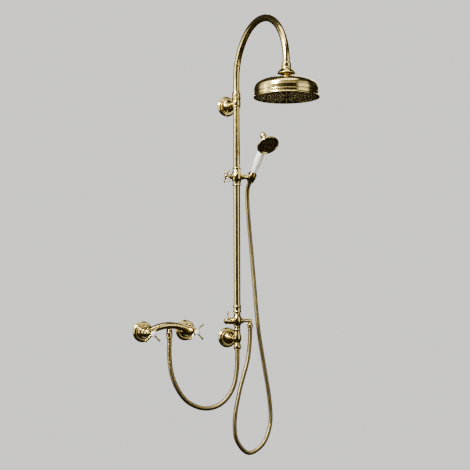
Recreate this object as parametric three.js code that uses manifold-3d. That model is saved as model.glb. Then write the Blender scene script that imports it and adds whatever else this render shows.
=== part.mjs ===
// A wall-mounted shower: a two-tap mixer, a supply hose, a rigid riser with a diverter, a sliding hand-shower
// holder and a swan-neck arm with a large overhead rose.
// Millimetres. X runs to the right along the wall, -Y comes out of the wall and Z is up.
// The origin is the middle of the lower bracket's wall plate, where it meets the wall.
import * as THREE from "three";
import { mergeVertices } from "three/addons/utils/BufferGeometryUtils.js";
import Module from "manifold-3d";

const wasm = await Module();
wasm.setup();

// ---- driving dimensions ----
const GAP = 0.3; // between pieces that touch
const RISER_OUT = 76; // wall to the riser's centre line
const RISER_R = 11;
const RISER_WALL = 1.3;
const RISER_BOTTOM = 87;
const RISER_TOP = 797;
const UPPER_BRACKET_Z = 787;
const FLANGE_R = 34;
const FLANGE_DEPTH = 26;
const PLATE_R = 24;
const PLATE_THICK = 5;
const SCREW_SPREAD = 16;

const ARM_REACH = 335; // riser to the overhead rose
const ARM_START = 806;
const ARM_SPRING = 861; // where the arch leaves the vertical
const ARM_END = 850;
const ROSE_R = 100;
const ROSE_BOTTOM = 748;
const BALL_Z = 838;
const BALL_R = 9;

const DIVERTER_Z = 60;
const ELBOW_X = 48;
const LEVER_X = -35;

const SLIDER_Z = 540;
const CRADLE_X = 56;
const LOCK_X = -38;
const HANDSET_LEAN = THREE.MathUtils.degToRad(42);
const HANDSET_FACE_TILT = THREE.MathUtils.degToRad(6);
const HANDSET_HEAD = 150; // cradle pivot to the hand shower's rose, along the grip
const HANDSET_NUT_BOTTOM = -27;

const MIXER_X = -231;
const MIXER_Z = 30;
const INLET_CENTRES = 150;
const MIXER_BAR_OUT = 46; // wall to the mixer's bar
const MIXER_BAR_RISE = 20;
const MIXER_OUTLET_BOTTOM = 34;
const TAP_ARM = 31.5;

const SUPPLY_HOSE_R = 7.5;
const HANDSET_HOSE_R = 7;

// ---- finishes ----
const polishedBrass = () =>
  new THREE.MeshStandardMaterial({ color: 0xcaa767, roughness: 0.16, metalness: 1 });
const glazedCeramic = () =>
  new THREE.MeshStandardMaterial({ color: 0xf6f4ee, roughness: 0.1, metalness: 0 });
const sprayFace = () =>
  new THREE.MeshStandardMaterial({ color: 0x6e5f45, roughness: 0.35, metalness: 0.8 });
const nylon = () =>
  new THREE.MeshStandardMaterial({ color: 0xe6e2d8, roughness: 0.6, metalness: 0 });
const steel = () =>
  new THREE.MeshStandardMaterial({ color: 0xb9bcc0, roughness: 0.3, metalness: 1 });

// ---- shapes ----
const SIDES = 16; // round a piece of the column's size
const FEW_SIDES = 10; // round a small piece
const ROSE_SIDES = 20;

/** A solid of revolution about Z. The outline is [radius, z] pairs, anticlockwise, open on the axis or closed. */
function turned(outline, sides = SIDES) {
  const points = outline.map(([r, z]) => new THREE.Vector2(r, z));
  return new THREE.LatheGeometry(points, sides).rotateX(Math.PI / 2);
}

/** A ring or tube about Z between two radii and two heights. */
function ring(inner, outer, low, high, sides = SIDES) {
  return turned([[inner, low], [outer, low], [outer, high], [inner, high], [inner, low]], sides);
}

/** A cylinder about Z between two heights. */
function rod(radius, low, high, sides = FEW_SIDES) {
  return turned([[0, low], [radius, low], [radius, high], [0, high]], sides);
}

/** A ball centred at a point. */
function ball(radius, x = 0, y = 0, z = 0) {
  return new THREE.SphereGeometry(radius, 6, 4).rotateX(Math.PI / 2).translate(x, y, z);
}

/** Points of a quarter ellipse from [r0, z0], left along Z, to [r1, z1], reached along r. */
function quarter(r0, z0, r1, z1, steps) {
  return Array.from({ length: steps + 1 }, (_, i) => {
    const a = ((i / steps) * Math.PI) / 2;
    return [r1 + (r0 - r1) * Math.cos(a), z0 + (z1 - z0) * Math.sin(a)];
  });
}

const toward = {
  viewer: (g) => g.rotateX(Math.PI / 2),
  wall: (g) => g.rotateX(-Math.PI / 2),
  left: (g) => g.rotateY(-Math.PI / 2),
  right: (g) => g.rotateY(Math.PI / 2),
};

function asManifold(geometry) {
  const bare = new THREE.BufferGeometry().setAttribute("position", geometry.getAttribute("position"));
  const merged = mergeVertices(geometry.index ? bare.setIndex(geometry.index) : bare, 1e-3);
  return new wasm.Manifold(
    new wasm.Mesh({
      numProp: 3,
      vertProperties: new Float32Array(merged.attributes.position.array),
      triVerts: new Uint32Array(merged.index.array),
    }),
  );
}

function asGeometry(solid) {
  const mesh = solid.getMesh();
  return new THREE.BufferGeometry()
    .setAttribute("position", new THREE.BufferAttribute(mesh.vertProperties, 3))
    .setIndex(new THREE.BufferAttribute(mesh.triVerts, 1))
    .toNonIndexed();
}

/** All the geometries of the first list joined, less those of the second. */
function carved(parts, cuts = []) {
  const joined = parts.map(asManifold).reduce((a, b) => a.add(b));
  return asGeometry(cuts.map(asManifold).reduce((a, b) => a.subtract(b), joined));
}

/** A round bar, or a tube when it is given a bore, swept along a curve. */
function swept(curve, radius, steps, sides, bore = 0) {
  const section = new THREE.Shape().absarc(0, 0, radius, 0, 2 * Math.PI, false);
  const shape = new THREE.Shape(section.getSpacedPoints(sides).slice(0, sides));
  if (bore) {
    const hole = new THREE.Path().absarc(0, 0, bore, 0, 2 * Math.PI, true);
    shape.holes.push(new THREE.Path(hole.getSpacedPoints(sides).slice(0, sides)));
  }
  return new THREE.ExtrudeGeometry(shape, { steps, extrudePath: curve, bevelEnabled: false });
}

const shower = new THREE.Group();

/** Adds one named piece to a group. */
function piece(group, name, geometry, finish = polishedBrass(), at = [0, 0, 0]) {
  const mesh = new THREE.Mesh(geometry, finish);
  mesh.name = name;
  mesh.position.set(...at);
  group.add(mesh);
  return mesh;
}

function groupAt(parent, ...at) {
  const group = new THREE.Group();
  group.position.set(...at);
  parent.add(group);
  return group;
}

// ---- wall flanges and plates ----
/** A bell-shaped cover that stands on the wall, open at the back, with a mouth for what comes through it. */
function bell(mouth) {
  const skin = 1.6;
  const crown = mouth + skin + 2;
  return toward.viewer(
    turned([
      [FLANGE_R - skin - 1, GAP],
      [FLANGE_R, GAP],
      [FLANGE_R, 3],
      ...quarter(FLANGE_R - 1.5, 4, crown, FLANGE_DEPTH - 3, 3),
      [mouth + skin, FLANGE_DEPTH],
      [mouth, FLANGE_DEPTH],
      [mouth, FLANGE_DEPTH - 5],
      ...quarter(FLANGE_R - 1.5 - skin, 4, crown + 1, FLANGE_DEPTH - 6, 2).reverse(),
      [FLANGE_R - skin - 1, GAP],
    ]),
  );
}

/** A wall bracket: plate, two screws, bell cover and the stem that carries the column. */
function wallBracket(prefix, z, stemEnd) {
  const group = groupAt(shower, 0, 0, z);
  const plate = carved(
    [toward.viewer(rod(PLATE_R, 0, PLATE_THICK, SIDES))],
    [-1, 1].map((side) =>
      toward.viewer(rod(2.5, -1, PLATE_THICK + 1, 10)).translate(side * SCREW_SPREAD, 0, 0),
    ),
  );
  piece(group, `${prefix}_wall_plate`, plate, steel());
  [-1, 1].forEach((side, i) => {
    const profile = [[0, GAP], [2.1, GAP], [2.1, 5.3], [4.2, 5.3], [4.2, 6.5], [2.6, 8], [0, 8]];
    const screw = toward.viewer(turned(profile, FEW_SIDES));
    piece(group, `${prefix}_wall_screw_${i + 1}`, screw, steel(), [side * SCREW_SPREAD, 0, 0]);
  });
  const stem = turned([
    [0, PLATE_THICK + GAP],
    [10, PLATE_THICK + GAP],
    [10, 12],
    [7, 14],
    [7, 30],
    [8.5, 31],
    [8.5, 34],
    [7, 35],
    [7, stemEnd],
    [0, stemEnd],
  ]);
  piece(group, `${prefix}_bracket_stem`, toward.viewer(stem));
  piece(group, `${prefix}_wall_flange`, bell(7 + GAP));
}

// ---- column ----
const column = groupAt(shower, 0, -RISER_OUT, 0);
const STEM_END = RISER_OUT - 17;

function columnTube() {
  piece(column, "riser_tube", ring(RISER_R - RISER_WALL, RISER_R, RISER_BOTTOM, RISER_TOP));
  const bore = RISER_R + GAP;
  const nut = [
    [bore, 88], [13, 88], [13.6, 90], [13.6, 103], [12.6, 106], [13.4, 109], [12.4, 113], [bore, 113],
  ];
  piece(column, "riser_collar_nut", turned([...nut, nut[0]]));
}

function upperJoint() {
  const bore = RISER_R + GAP;
  const top = RISER_TOP + 4;
  const collar = carved(
    [
      turned([[0, 773], [14, 773], [15.2, 776], [15.2, 798], [14, top], [0, top]]),
      toward.wall(rod(8, 5, RISER_OUT - STEM_END - GAP)).translate(0, 0, UPPER_BRACKET_Z),
    ],
    [rod(bore, 770, top + 1, SIDES)],
  );
  piece(column, "upper_bracket_collar", collar);
  const union = [
    [bore, top + GAP], [15.4, top + GAP], [15.4, 815], [14, 818], [14.6, 821], [12, 829], [bore, 829],
  ];
  piece(column, "arm_union_collar", turned([...union, union[0]]));
}

function swanNeck() {
  const radius = ARM_REACH / 2;
  const route = new THREE.CurvePath();
  const point = (y, z) => new THREE.Vector3(0, y, z);
  route.add(new THREE.LineCurve3(point(0, ARM_START), point(0, ARM_SPRING)));
  const quarterArc = (y0, z0, y1, z1, cy, cz) =>
    new THREE.CubicBezierCurve3(
      point(y0, z0),
      point(y0 + cy[0], z0 + cz[0]),
      point(y1 + cy[1], z1 + cz[1]),
      point(y1, z1),
    );
  const pull = 0.5523 * radius; // a cubic curve's handle length for a quarter circle
  const apex = ARM_SPRING + radius;
  route.add(quarterArc(0, ARM_SPRING, -radius, apex, [0, pull], [pull, 0]));
  route.add(quarterArc(-radius, apex, -ARM_REACH, ARM_SPRING, [-pull, 0], [0, pull]));
  route.add(new THREE.LineCurve3(point(-ARM_REACH, ARM_SPRING), point(-ARM_REACH, ARM_END)));
  piece(column, "swan_neck_arm", swept(route, RISER_R, 20, 10, RISER_R - RISER_WALL));
}

function inletBody() {
  const vase = turned([
    [0, -15], [9, -15], [9, -12], [11.4, -9], [13.8, 2], [12.9, 12], [9.8, 22], [9.4, 26],
    [11.6, 28.5], [11.6, 32], [9.6, 34.5], [10.4, 38.5], [0, 38.5],
  ]);
  const boss = toward.wall(rod(7.6, 5, RISER_OUT - STEM_END - GAP));
  piece(column, "inlet_body", carved([vase, boss], [rod(6.5, -16, 40)]));
}

function diverter() {
  const group = groupAt(column, 0, 0, DIVERTER_Z);
  const high = RISER_BOTTOM - GAP - DIVERTER_Z;
  const low = 38.8 - DIVERTER_Z;
  const body = carved(
    [
      turned([
        [0, low], [10.4, low], [11.5, -15], [14.6, -6], [15, 2], [14, 9], [11, 16], [10.6, high], [0, high],
      ]),
      toward.left(turned([[0, 0], [16, 0], [16, 6], [12.8, 12.5], [11.2, 17], [0, 17]])),
      toward.right(turned([[0, 0], [11.5, 0], [11.5, 13], [8.5, 17], [0, 17]])),
    ],
    [
      rod(6.5, low - 1, high + 1),
      toward.left(rod(7.6, -9, 18)),
      toward.right(rod(5, 0, 18)),
    ],
  );
  piece(group, "diverter_body", body);
  const cartridge = turned([[0, -8], [7.2, -8], [7.2, 15], [4.4, 15], [4.4, 16.8], [0, 16.8]], FEW_SIDES);
  piece(group, "diverter_cartridge", toward.left(cartridge), nylon());
  const bonnet = [
    [4.6, 17.3], [11.2, 17.3], [11.2, 20], [9.8, 21.5], [9.8, 25], [10.8, 26], [10.8, 28], [4.6, 28],
  ];
  piece(group, "diverter_bonnet", toward.left(turned([...bonnet, bonnet[0]])));

  const hubStart = 28 + GAP;
  const hub = toward.left(
    turned([
      [0, 17.2], [4.2, 17.2], [4.2, hubStart], [8.8, hubStart], [9.8, 31], [9.8, 39], [8.2, 45], [0, 45],
    ]),
  );
  const stick = turned(
    [[0, 4], [3, 4], [2, 12], [1.8, 21.5], [3, 22], [3, 24], [1.8, 24.5], [1.8, 28], [0, 28]],
    FEW_SIDES,
  ).translate(LEVER_X, 0, 0);
  piece(group, "diverter_lever", carved([hub, stick, ball(4.2, LEVER_X, 0, 29)]));
  const cap = turned([[0, 45.3], [6.6, 45.3], [6.2, 47.2], [3, 48.6], [0, 48.6]], FEW_SIDES);
  piece(group, "diverter_lever_cap", toward.left(cap));

  const elbowR = 6;
  const corner = 5; // how far each leg runs past the other's centre line
  const legEnd = ELBOW_X + corner;
  const elbow = carved(
    [
      toward.right(
        turned([[0, 17.3], [9.4, 17.3], [9.4, 21], [elbowR, 23], [elbowR, legEnd], [0, legEnd]], FEW_SIDES),
      ),
      turned(
        [[0, -12], [8.6, -12], [8.6, -9], [elbowR, -7.5], [elbowR, corner], [0, corner]],
        FEW_SIDES,
      ).translate(ELBOW_X, 0, 0),
    ],
    [toward.right(rod(4, 16, ELBOW_X, 12)), rod(4, -13, 0, 12).translate(ELBOW_X, 0, 0)],
  );
  piece(group, "outlet_elbow", elbow);
}

// ---- overhead rose ----
function overheadRose() {
  const group = groupAt(column, 0, -ARM_REACH, 0);
  const socketLip = BALL_Z - 4;
  const nut = carved(
    [
      turned([
        [0, 822], [27.5, 822], [27.5, 824], [22, 830], [16.5, 835.5], [15, 837], [15, 853], [13, 856],
        [0, 856],
      ]),
    ],
    [
      rod(RISER_R + 0.8, BALL_Z + BALL_R + 2, 860, SIDES),
      rod(BALL_R + 0.6, socketLip, BALL_Z + BALL_R + 3, 20),
      turned([[0, 820], [26, 820], [26, 823], [13, 833], [8.8, socketLip + 0.2], [0, socketLip + 0.2]]),
    ],
  );
  piece(group, "arm_end_nut", nut);
  const swivel = new THREE.SphereGeometry(BALL_R, 10, 6).rotateX(Math.PI / 2);
  piece(group, "swivel_ball", swivel, polishedBrass(), [0, 0, BALL_Z]);

  const neckTop = BALL_Z - BALL_R - 0.6;
  const neck = [[3.5, 811.5], [9.5, 811.5], [9.5, 814], [7, 816], [6.2, 820], [6, neckTop], [3.5, neckTop]];
  piece(group, "rose_neck", turned([...neck, neck[0]], FEW_SIDES));

  const shoulder = 776.3;
  const dome = [
    [4, 811.2], [4, 807], [40, 803], ...quarter(93, shoulder, 60, 799, 2).reverse(), [97, shoulder],
    ...quarter(97.4, shoulder + 2, 40, 807, 4), [14, 809.6], [12, 811.2], [4, 811.2],
  ];
  piece(group, "rose_dome", turned(dome, ROSE_SIDES));

  const mid = 763;
  const rim = [
    [95, ROSE_BOTTOM + 2], [97, ROSE_BOTTOM], [ROSE_R, ROSE_BOTTOM], [ROSE_R, ROSE_BOTTOM + 2.2],
    [98, ROSE_BOTTOM + 4.5], [98, mid - 1], [97, mid], [98, mid + 1], [98, 775], [97, 776], [95, 776],
    [95, ROSE_BOTTOM + 2],
  ];
  piece(group, "rose_rim", turned(rim, ROSE_SIDES));
  const plate = rod(95 - GAP, ROSE_BOTTOM + 3, ROSE_BOTTOM + 5.5, ROSE_SIDES);
  piece(group, "rose_spray_plate", plate, sprayFace());
}

// ---- cross handles ----
/** A four-armed handle about Z: a hub with a bore, and a ball on the end of each arm. */
function crossHandle(reach, hub, bore, armZ, ballR, armR) {
  const angles = [45, 135, 225, 315].map((a) => THREE.MathUtils.degToRad(a));
  const arms = angles.flatMap((a) => {
    const arm = toward.right(
      turned([[0, 2], [armR * 1.35, 2], [armR, reach * 0.5], [armR, reach], [0, reach]], 5),
    );
    const tip = ball(ballR, reach, 0, 0);
    return [arm, tip].map((g) => g.translate(0, 0, armZ).rotateZ(a));
  });
  return carved([turned(hub, FEW_SIDES), ...arms], [bore]);
}

// ---- sliding holder ----
function slider() {
  const group = groupAt(column, 0, 0, SLIDER_Z);
  const bushR = RISER_R + 1.4;
  const body = carved(
    [
      turned([
        [0, -30], [14.2, -30], [14.2, -26], [13.2, -24], [14.2, -17], [17.6, -7], [18.5, 0], [17.6, 7],
        [14.2, 17], [13.2, 24], [14.2, 26], [14.2, 30], [0, 30],
      ]),
      toward.left(turned([[0, 0], [13, 0], [13, 14], [8.6, 20], [8, 23], [0, 23]], FEW_SIDES)),
      toward.right(
        turned([[0, 0], [14, 0], [14, 14], [8.6, 21.5], [7.7, 24], [7.7, 39], [0, 39]], FEW_SIDES),
      ),
    ],
    [
      rod(bushR + GAP, -31, 31, SIDES),
      toward.left(rod(4.4, 0, 25, 12)),
      toward.right(rod(4.5, 24, 40, 12)),
      rod(1.9, -9, -4, 8).translate(33, 0, 0),
    ],
  );
  piece(group, "slider_body", body);
  const bush = carved([ring(RISER_R + 0.2, bushR, -28, 28)], [toward.left(rod(4.6, 0, 25, 12))]);
  piece(group, "slider_bush", bush, nylon());
  piece(group, "cradle_grub_screw", rod(1.6, -7.2, -4.6, 8).translate(33, 0, 0), steel());
  const screw = turned(
    [
      [0, 11.4], [4.1, 11.4], [4.1, 23.3], [6, 23.3], [6, 26], [4.4, 28], [4.4, 33], [3.6, 33.3], [3.6, 42],
      [0, 42],
    ],
    FEW_SIDES,
  );
  piece(group, "lock_screw", toward.left(screw));
  const hub = [[0, 33.3], [6, 33.3], [7.2, 36], [7.2, 40], [5.6, 43.5], [3.4, 45.5], [0, 45.5]];
  const bore = rod(3.9, 33, 42.3, 12);
  piece(group, "lock_cross", toward.left(crossHandle(23.5, hub, bore, -LOCK_X, 3.6, 1.9)));
  handset(groupAt(group, CRADLE_X, 0, 0));
}

/** The cradle and hand shower, about the cradle's pivot, with the grip along the leaning group's Z. */
function handset(pivot) {
  pivot.rotation.x = HANDSET_LEAN;
  const cup = [[0, -17], [11.8, -17], [13.6, -11], [14.3, -2], [13.6, 8], [15, 10], [15, 13], [0, 13]];
  const taper = turned([[0, -18], [8.7, -18], [10.9, 14], [0, 14]]);
  const spigot = toward.left(rod(4.2, 11.6, 27, 12));
  const groove = carved([toward.left(rod(5, 21, 25, 12))], [toward.left(rod(3.4, 20, 26, 12))]);
  const cradle = carved([turned(cup), spigot], [taper, groove]);
  piece(pivot, "handset_cradle", cradle);

  const nut = [
    [4.8, HANDSET_NUT_BOTTOM], [7.6, HANDSET_NUT_BOTTOM], [8.1, -18], [10.3, 13], [10.3, 16], [6.2, 16],
    [4.8, 0],
  ];
  piece(pivot, "hose_handset_nut", turned([...nut, nut[0]]));
  const ferrule = [[6.2, 16.3], [10.6, 16.3], [11, 18], [9.6, 20.5], [10.2, 24], [6.2, 24]];
  piece(pivot, "handset_ferrule", turned([...ferrule, ferrule[0]]));
  const grip = [
    [6.4, 24.3], [9.2, 24.3], [10, 34], [12, 52], [13.2, 72], [12.8, 90], [11, 107], [9.6, 116], [6.4, 116],
    [6.4, 24.3],
  ];
  piece(pivot, "handset_grip", turned(grip, 20), glazedCeramic());
  piece(pivot, "handset_core_tube", ring(4.4, 5.9, 16.5, 122, FEW_SIDES));

  const head = groupAt(pivot, 0, 0, HANDSET_HEAD);
  const neck = carved(
    [
      turned([
        [0, -33.7], [10.2, -33.7], [10.6, -31], [8, -27], [7, -18], [8, -13], [7.4, -8], [7.4, 0], [0, 0],
      ]),
      ball(9.6, 0, 0, 0),
      toward.viewer(turned([[0, 0], [7.4, 0], [7.4, 10.5], [0, 10.5]], FEW_SIDES)).rotateX(HANDSET_FACE_TILT),
      toward.wall(turned([[0, 0], [6.4, 0], [6.4, 11], [0, 11]], 16)).rotateX(HANDSET_FACE_TILT),
    ],
    [
      rod(6.1, -40, -27.5),
      rod(4.4, -30, 0, 12),
      toward.viewer(rod(4.4, 0, 12, 12)).rotateX(HANDSET_FACE_TILT),
    ],
  );
  piece(head, "handset_neck", neck);
  const rose = new THREE.Group();
  rose.rotation.x = HANDSET_FACE_TILT;
  head.add(rose);
  const finial = turned(
    [
      [0, 11.3], [7.8, 11.3], [7.8, 14], [7.2, 16.4], [7.6, 19.4], [9.8, 22.6], [10.6, 27.5], [9.4, 32.5], [6, 36],
      [0, 37.4],
    ],
    FEW_SIDES,
  );
  piece(rose, "handset_finial", toward.wall(finial));
  const shell = [
    [4.6, 10.8], [9, 10.8], [9.6, 12], ...quarter(35, 20, 12, 12.8, 3).reverse(), [37, 20.5],
    [37, 25], [34.2, 25], [34.2, 21.6], [30, 18.8], [10, 14.6], [4.6, 14.6], [4.6, 10.8],
  ];
  piece(rose, "handset_rose_shell", toward.viewer(turned(shell, ROSE_SIDES)));
  piece(rose, "handset_spray_plate", toward.viewer(rod(34.2 - GAP, 21.9, 23.6, ROSE_SIDES)), sprayFace());
}

// ---- mixer ----
function mixer() {
  const group = groupAt(shower, MIXER_X, 0, MIXER_Z);
  const half = INLET_CENTRES / 2;
  const barY = -MIXER_BAR_OUT;
  const apex = MIXER_BAR_RISE;
  const arch = new THREE.CubicBezierCurve3(
    new THREE.Vector3(-half, barY, 0),
    new THREE.Vector3(-half * 0.55, barY, apex * 1.4),
    new THREE.Vector3(half * 0.55, barY, apex * 1.4),
    new THREE.Vector3(half, barY, 0),
  );
  const outletLow = MIXER_OUTLET_BOTTOM - MIXER_Z;
  const barrel = [[0, 34.3], [14, 34.3], [15.4, 37], [15.4, 56], [13.5, 62], [0, 62]];
  const sides = [-half, half];
  const body = carved(
    [
      swept(arch, 11, 8, 10),
      ...sides.map((x) => toward.viewer(turned(barrel)).translate(x, 0, 0)),
      turned([[0, outletLow], [9.5, outletLow], [9.5, 8], [0, 16]], FEW_SIDES).translate(0, barY, 0),
    ],
    [
      swept(arch, 7, 8, 8),
      ...sides.map((x) => toward.viewer(rod(9, 30, 64, 16)).translate(x, 0, 0)),
      rod(5.5, outletLow - 1, 16, 12).translate(0, barY, 0),
    ],
  );
  piece(group, "mixer_body", body);
  ["hot", "cold"].forEach((side, i) => tap(groupAt(group, sides[i], 0, 0), side));
}

/** Everything on one of the mixer's inlets, about an axis out of the wall. */
function tap(group, side) {
  piece(group, `${side}_wall_flange`, bell(16.6 + GAP));
  const union = [[8, 0], [12.4, 0], [12.4, 20], [16.4, 20], [16.4, 31], [15, 34], [8, 34], [8, 0]];
  piece(group, `${side}_inlet_union`, toward.viewer(turned(union)));
  const bonnet = [
    [4.4, 44], [8.6, 44], [8.6, 62.3], [12.4, 62.3], [12.4, 65], [9.4, 67], [9.4, 73], [10.6, 74.5],
    [10.6, 77.5], [4.4, 77.5],
  ];
  piece(group, `${side}_bonnet`, toward.viewer(turned([...bonnet, bonnet[0]])));
  piece(group, `${side}_spindle`, toward.viewer(rod(4, 46, 95)));
  const hub = [[0, 78], [7.6, 78], [9.4, 82], [9.8, 90], [9.8, 96], [9, 98], [0, 98]];
  const cross = crossHandle(TAP_ARM, hub, rod(4.3, 77, 95.3), 89, 4.2, 2.3);
  piece(group, `${side}_cross_handle`, toward.viewer(cross));
  const button = turned([[0, 98.3], [9, 98.3], [8.8, 100.2], [5.6, 102], [0, 102.6]], FEW_SIDES);
  piece(group, `${side}_ceramic_button`, toward.viewer(button), glazedCeramic());
}

// ---- hoses ----
function hoses() {
  const routed = (points) =>
    new THREE.CatmullRomCurve3(points.map((p) => new THREE.Vector3(...p)), false, "centripetal");
  const inletNut = [[6, -35], [11, -35], [12.4, -32], [12.4, -20], [11, -15.3], [6, -15.3]];
  piece(column, "hose_inlet_nut", turned([...inletNut, inletNut[0]]));
  const mixerNut = [[5.5, 10], [9, 10], [10.4, 14], [10.4, 28], [9.6, 33.7], [5.5, 33.7]];
  const mixerUnion = turned([...mixerNut, mixerNut[0]], FEW_SIDES);
  piece(shower, "hose_mixer_nut", mixerUnion, polishedBrass(), [MIXER_X, -MIXER_BAR_OUT, 0]);
  const elbowNut = [[4.8, 33], [8.4, 33], [9.6, 36], [9.6, 43], [8.6, 47.7], [4.8, 47.7]];
  const elbowUnion = turned([...elbowNut, elbowNut[0]], FEW_SIDES);
  piece(column, "hose_elbow_nut", elbowUnion, polishedBrass(), [ELBOW_X, 0, 0]);

  const supply = routed([
    [MIXER_X, -MIXER_BAR_OUT, 9.7],
    [MIXER_X, -MIXER_BAR_OUT, -6],
    [-232, -48, -50],
    [-226, -52, -105],
    [-205, -56, -158],
    [-170, -60, -200],
    [-112, -64, -223],
    [-58, -68, -212],
    [-17, -72, -167],
    [-2, -75, -105],
    [0, -RISER_OUT, -51],
    [0, -RISER_OUT, -35.3],
  ]);
  piece(shower, "supply_hose", swept(supply, SUPPLY_HOSE_R, 26, 8));

  const leanY = Math.sin(HANDSET_LEAN);
  const leanZ = Math.cos(HANDSET_LEAN);
  const alongGrip = (t) => [CRADLE_X, -RISER_OUT - t * leanY, SLIDER_Z + t * leanZ];
  const hand = routed([
    [ELBOW_X, -RISER_OUT, 32.7],
    [ELBOW_X, -RISER_OUT, 15],
    [40, -RISER_OUT, -65],
    [8, -75, -172],
    [-10, -74, -270],
    [-2, -73, -335],
    [42, -72, -381],
    [98, -71, -356],
    [127, -69, -290],
    [126, -67, -215],
    [108, -64, -100],
    [87, -60, 33],
    [75, -54, 194],
    [64, -46, 355],
    [59, -40, 450],
    [57, -43.5, 495],
    alongGrip(HANDSET_NUT_BOTTOM - 12),
    alongGrip(HANDSET_NUT_BOTTOM - GAP),
  ]);
  piece(shower, "handset_hose", swept(hand, HANDSET_HOSE_R, 46, 8));
}

wallBracket("lower", 0, STEM_END);
wallBracket("upper", UPPER_BRACKET_Z, STEM_END);
columnTube();
upperJoint();
swanNeck();
inletBody();
diverter();
overheadRose();
slider();
mixer();
hoses();

export default shower;
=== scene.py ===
"""A wall-mounted shower column: two-tap mixer, diverter, sliding hand shower and overhead rose.

Metres in Blender, millimetres in the turning outlines. X runs to the right along the wall, -Y comes
out of it and Z is up. The origin is the middle of the lower bracket's wall plate.
"""

from __future__ import annotations

import logging
import math
from dataclasses import dataclass, field
from enum import Enum
from typing import Iterable, Sequence

import bmesh
import bpy
import numpy as np
from mathutils import Matrix, Vector

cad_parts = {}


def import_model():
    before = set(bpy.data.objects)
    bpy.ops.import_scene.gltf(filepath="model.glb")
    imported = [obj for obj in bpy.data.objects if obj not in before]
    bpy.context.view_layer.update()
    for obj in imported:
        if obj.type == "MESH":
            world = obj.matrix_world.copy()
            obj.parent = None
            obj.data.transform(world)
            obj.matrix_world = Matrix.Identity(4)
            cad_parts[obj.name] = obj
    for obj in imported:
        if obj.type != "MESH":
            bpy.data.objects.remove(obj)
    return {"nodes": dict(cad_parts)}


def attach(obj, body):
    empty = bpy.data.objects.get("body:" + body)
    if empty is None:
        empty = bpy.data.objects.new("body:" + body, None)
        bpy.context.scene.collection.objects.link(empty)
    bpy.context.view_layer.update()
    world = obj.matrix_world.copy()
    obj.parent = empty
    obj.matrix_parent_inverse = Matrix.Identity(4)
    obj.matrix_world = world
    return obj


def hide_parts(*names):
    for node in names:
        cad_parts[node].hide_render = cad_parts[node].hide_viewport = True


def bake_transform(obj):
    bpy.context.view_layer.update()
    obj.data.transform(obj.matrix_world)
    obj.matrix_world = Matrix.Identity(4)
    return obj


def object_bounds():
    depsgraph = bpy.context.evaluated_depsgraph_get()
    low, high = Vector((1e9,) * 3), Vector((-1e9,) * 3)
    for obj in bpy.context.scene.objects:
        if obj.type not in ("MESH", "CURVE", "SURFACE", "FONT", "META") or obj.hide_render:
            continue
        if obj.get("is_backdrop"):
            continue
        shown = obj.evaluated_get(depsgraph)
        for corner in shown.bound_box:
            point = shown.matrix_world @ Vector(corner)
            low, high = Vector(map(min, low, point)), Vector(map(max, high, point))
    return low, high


log = logging.getLogger("shower")

MM = 0.001
SMOOTH_ANGLE = math.radians(38)
CORNER_ANGLE = math.radians(24)
SAME_POINT = 1e-4
ON_AXIS = 1e-3
WELD = 2e-6
SLIVER = 1e-6
FIT_GAP = 0.3

Point = tuple[float, float]
Spot = tuple[float, float, float]
Piece = bpy.types.Object
Material = bpy.types.Material
Node = bpy.types.Node
Socket = bpy.types.NodeSocket
Tree = bpy.types.NodeTree


# ---- outlines


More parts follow.
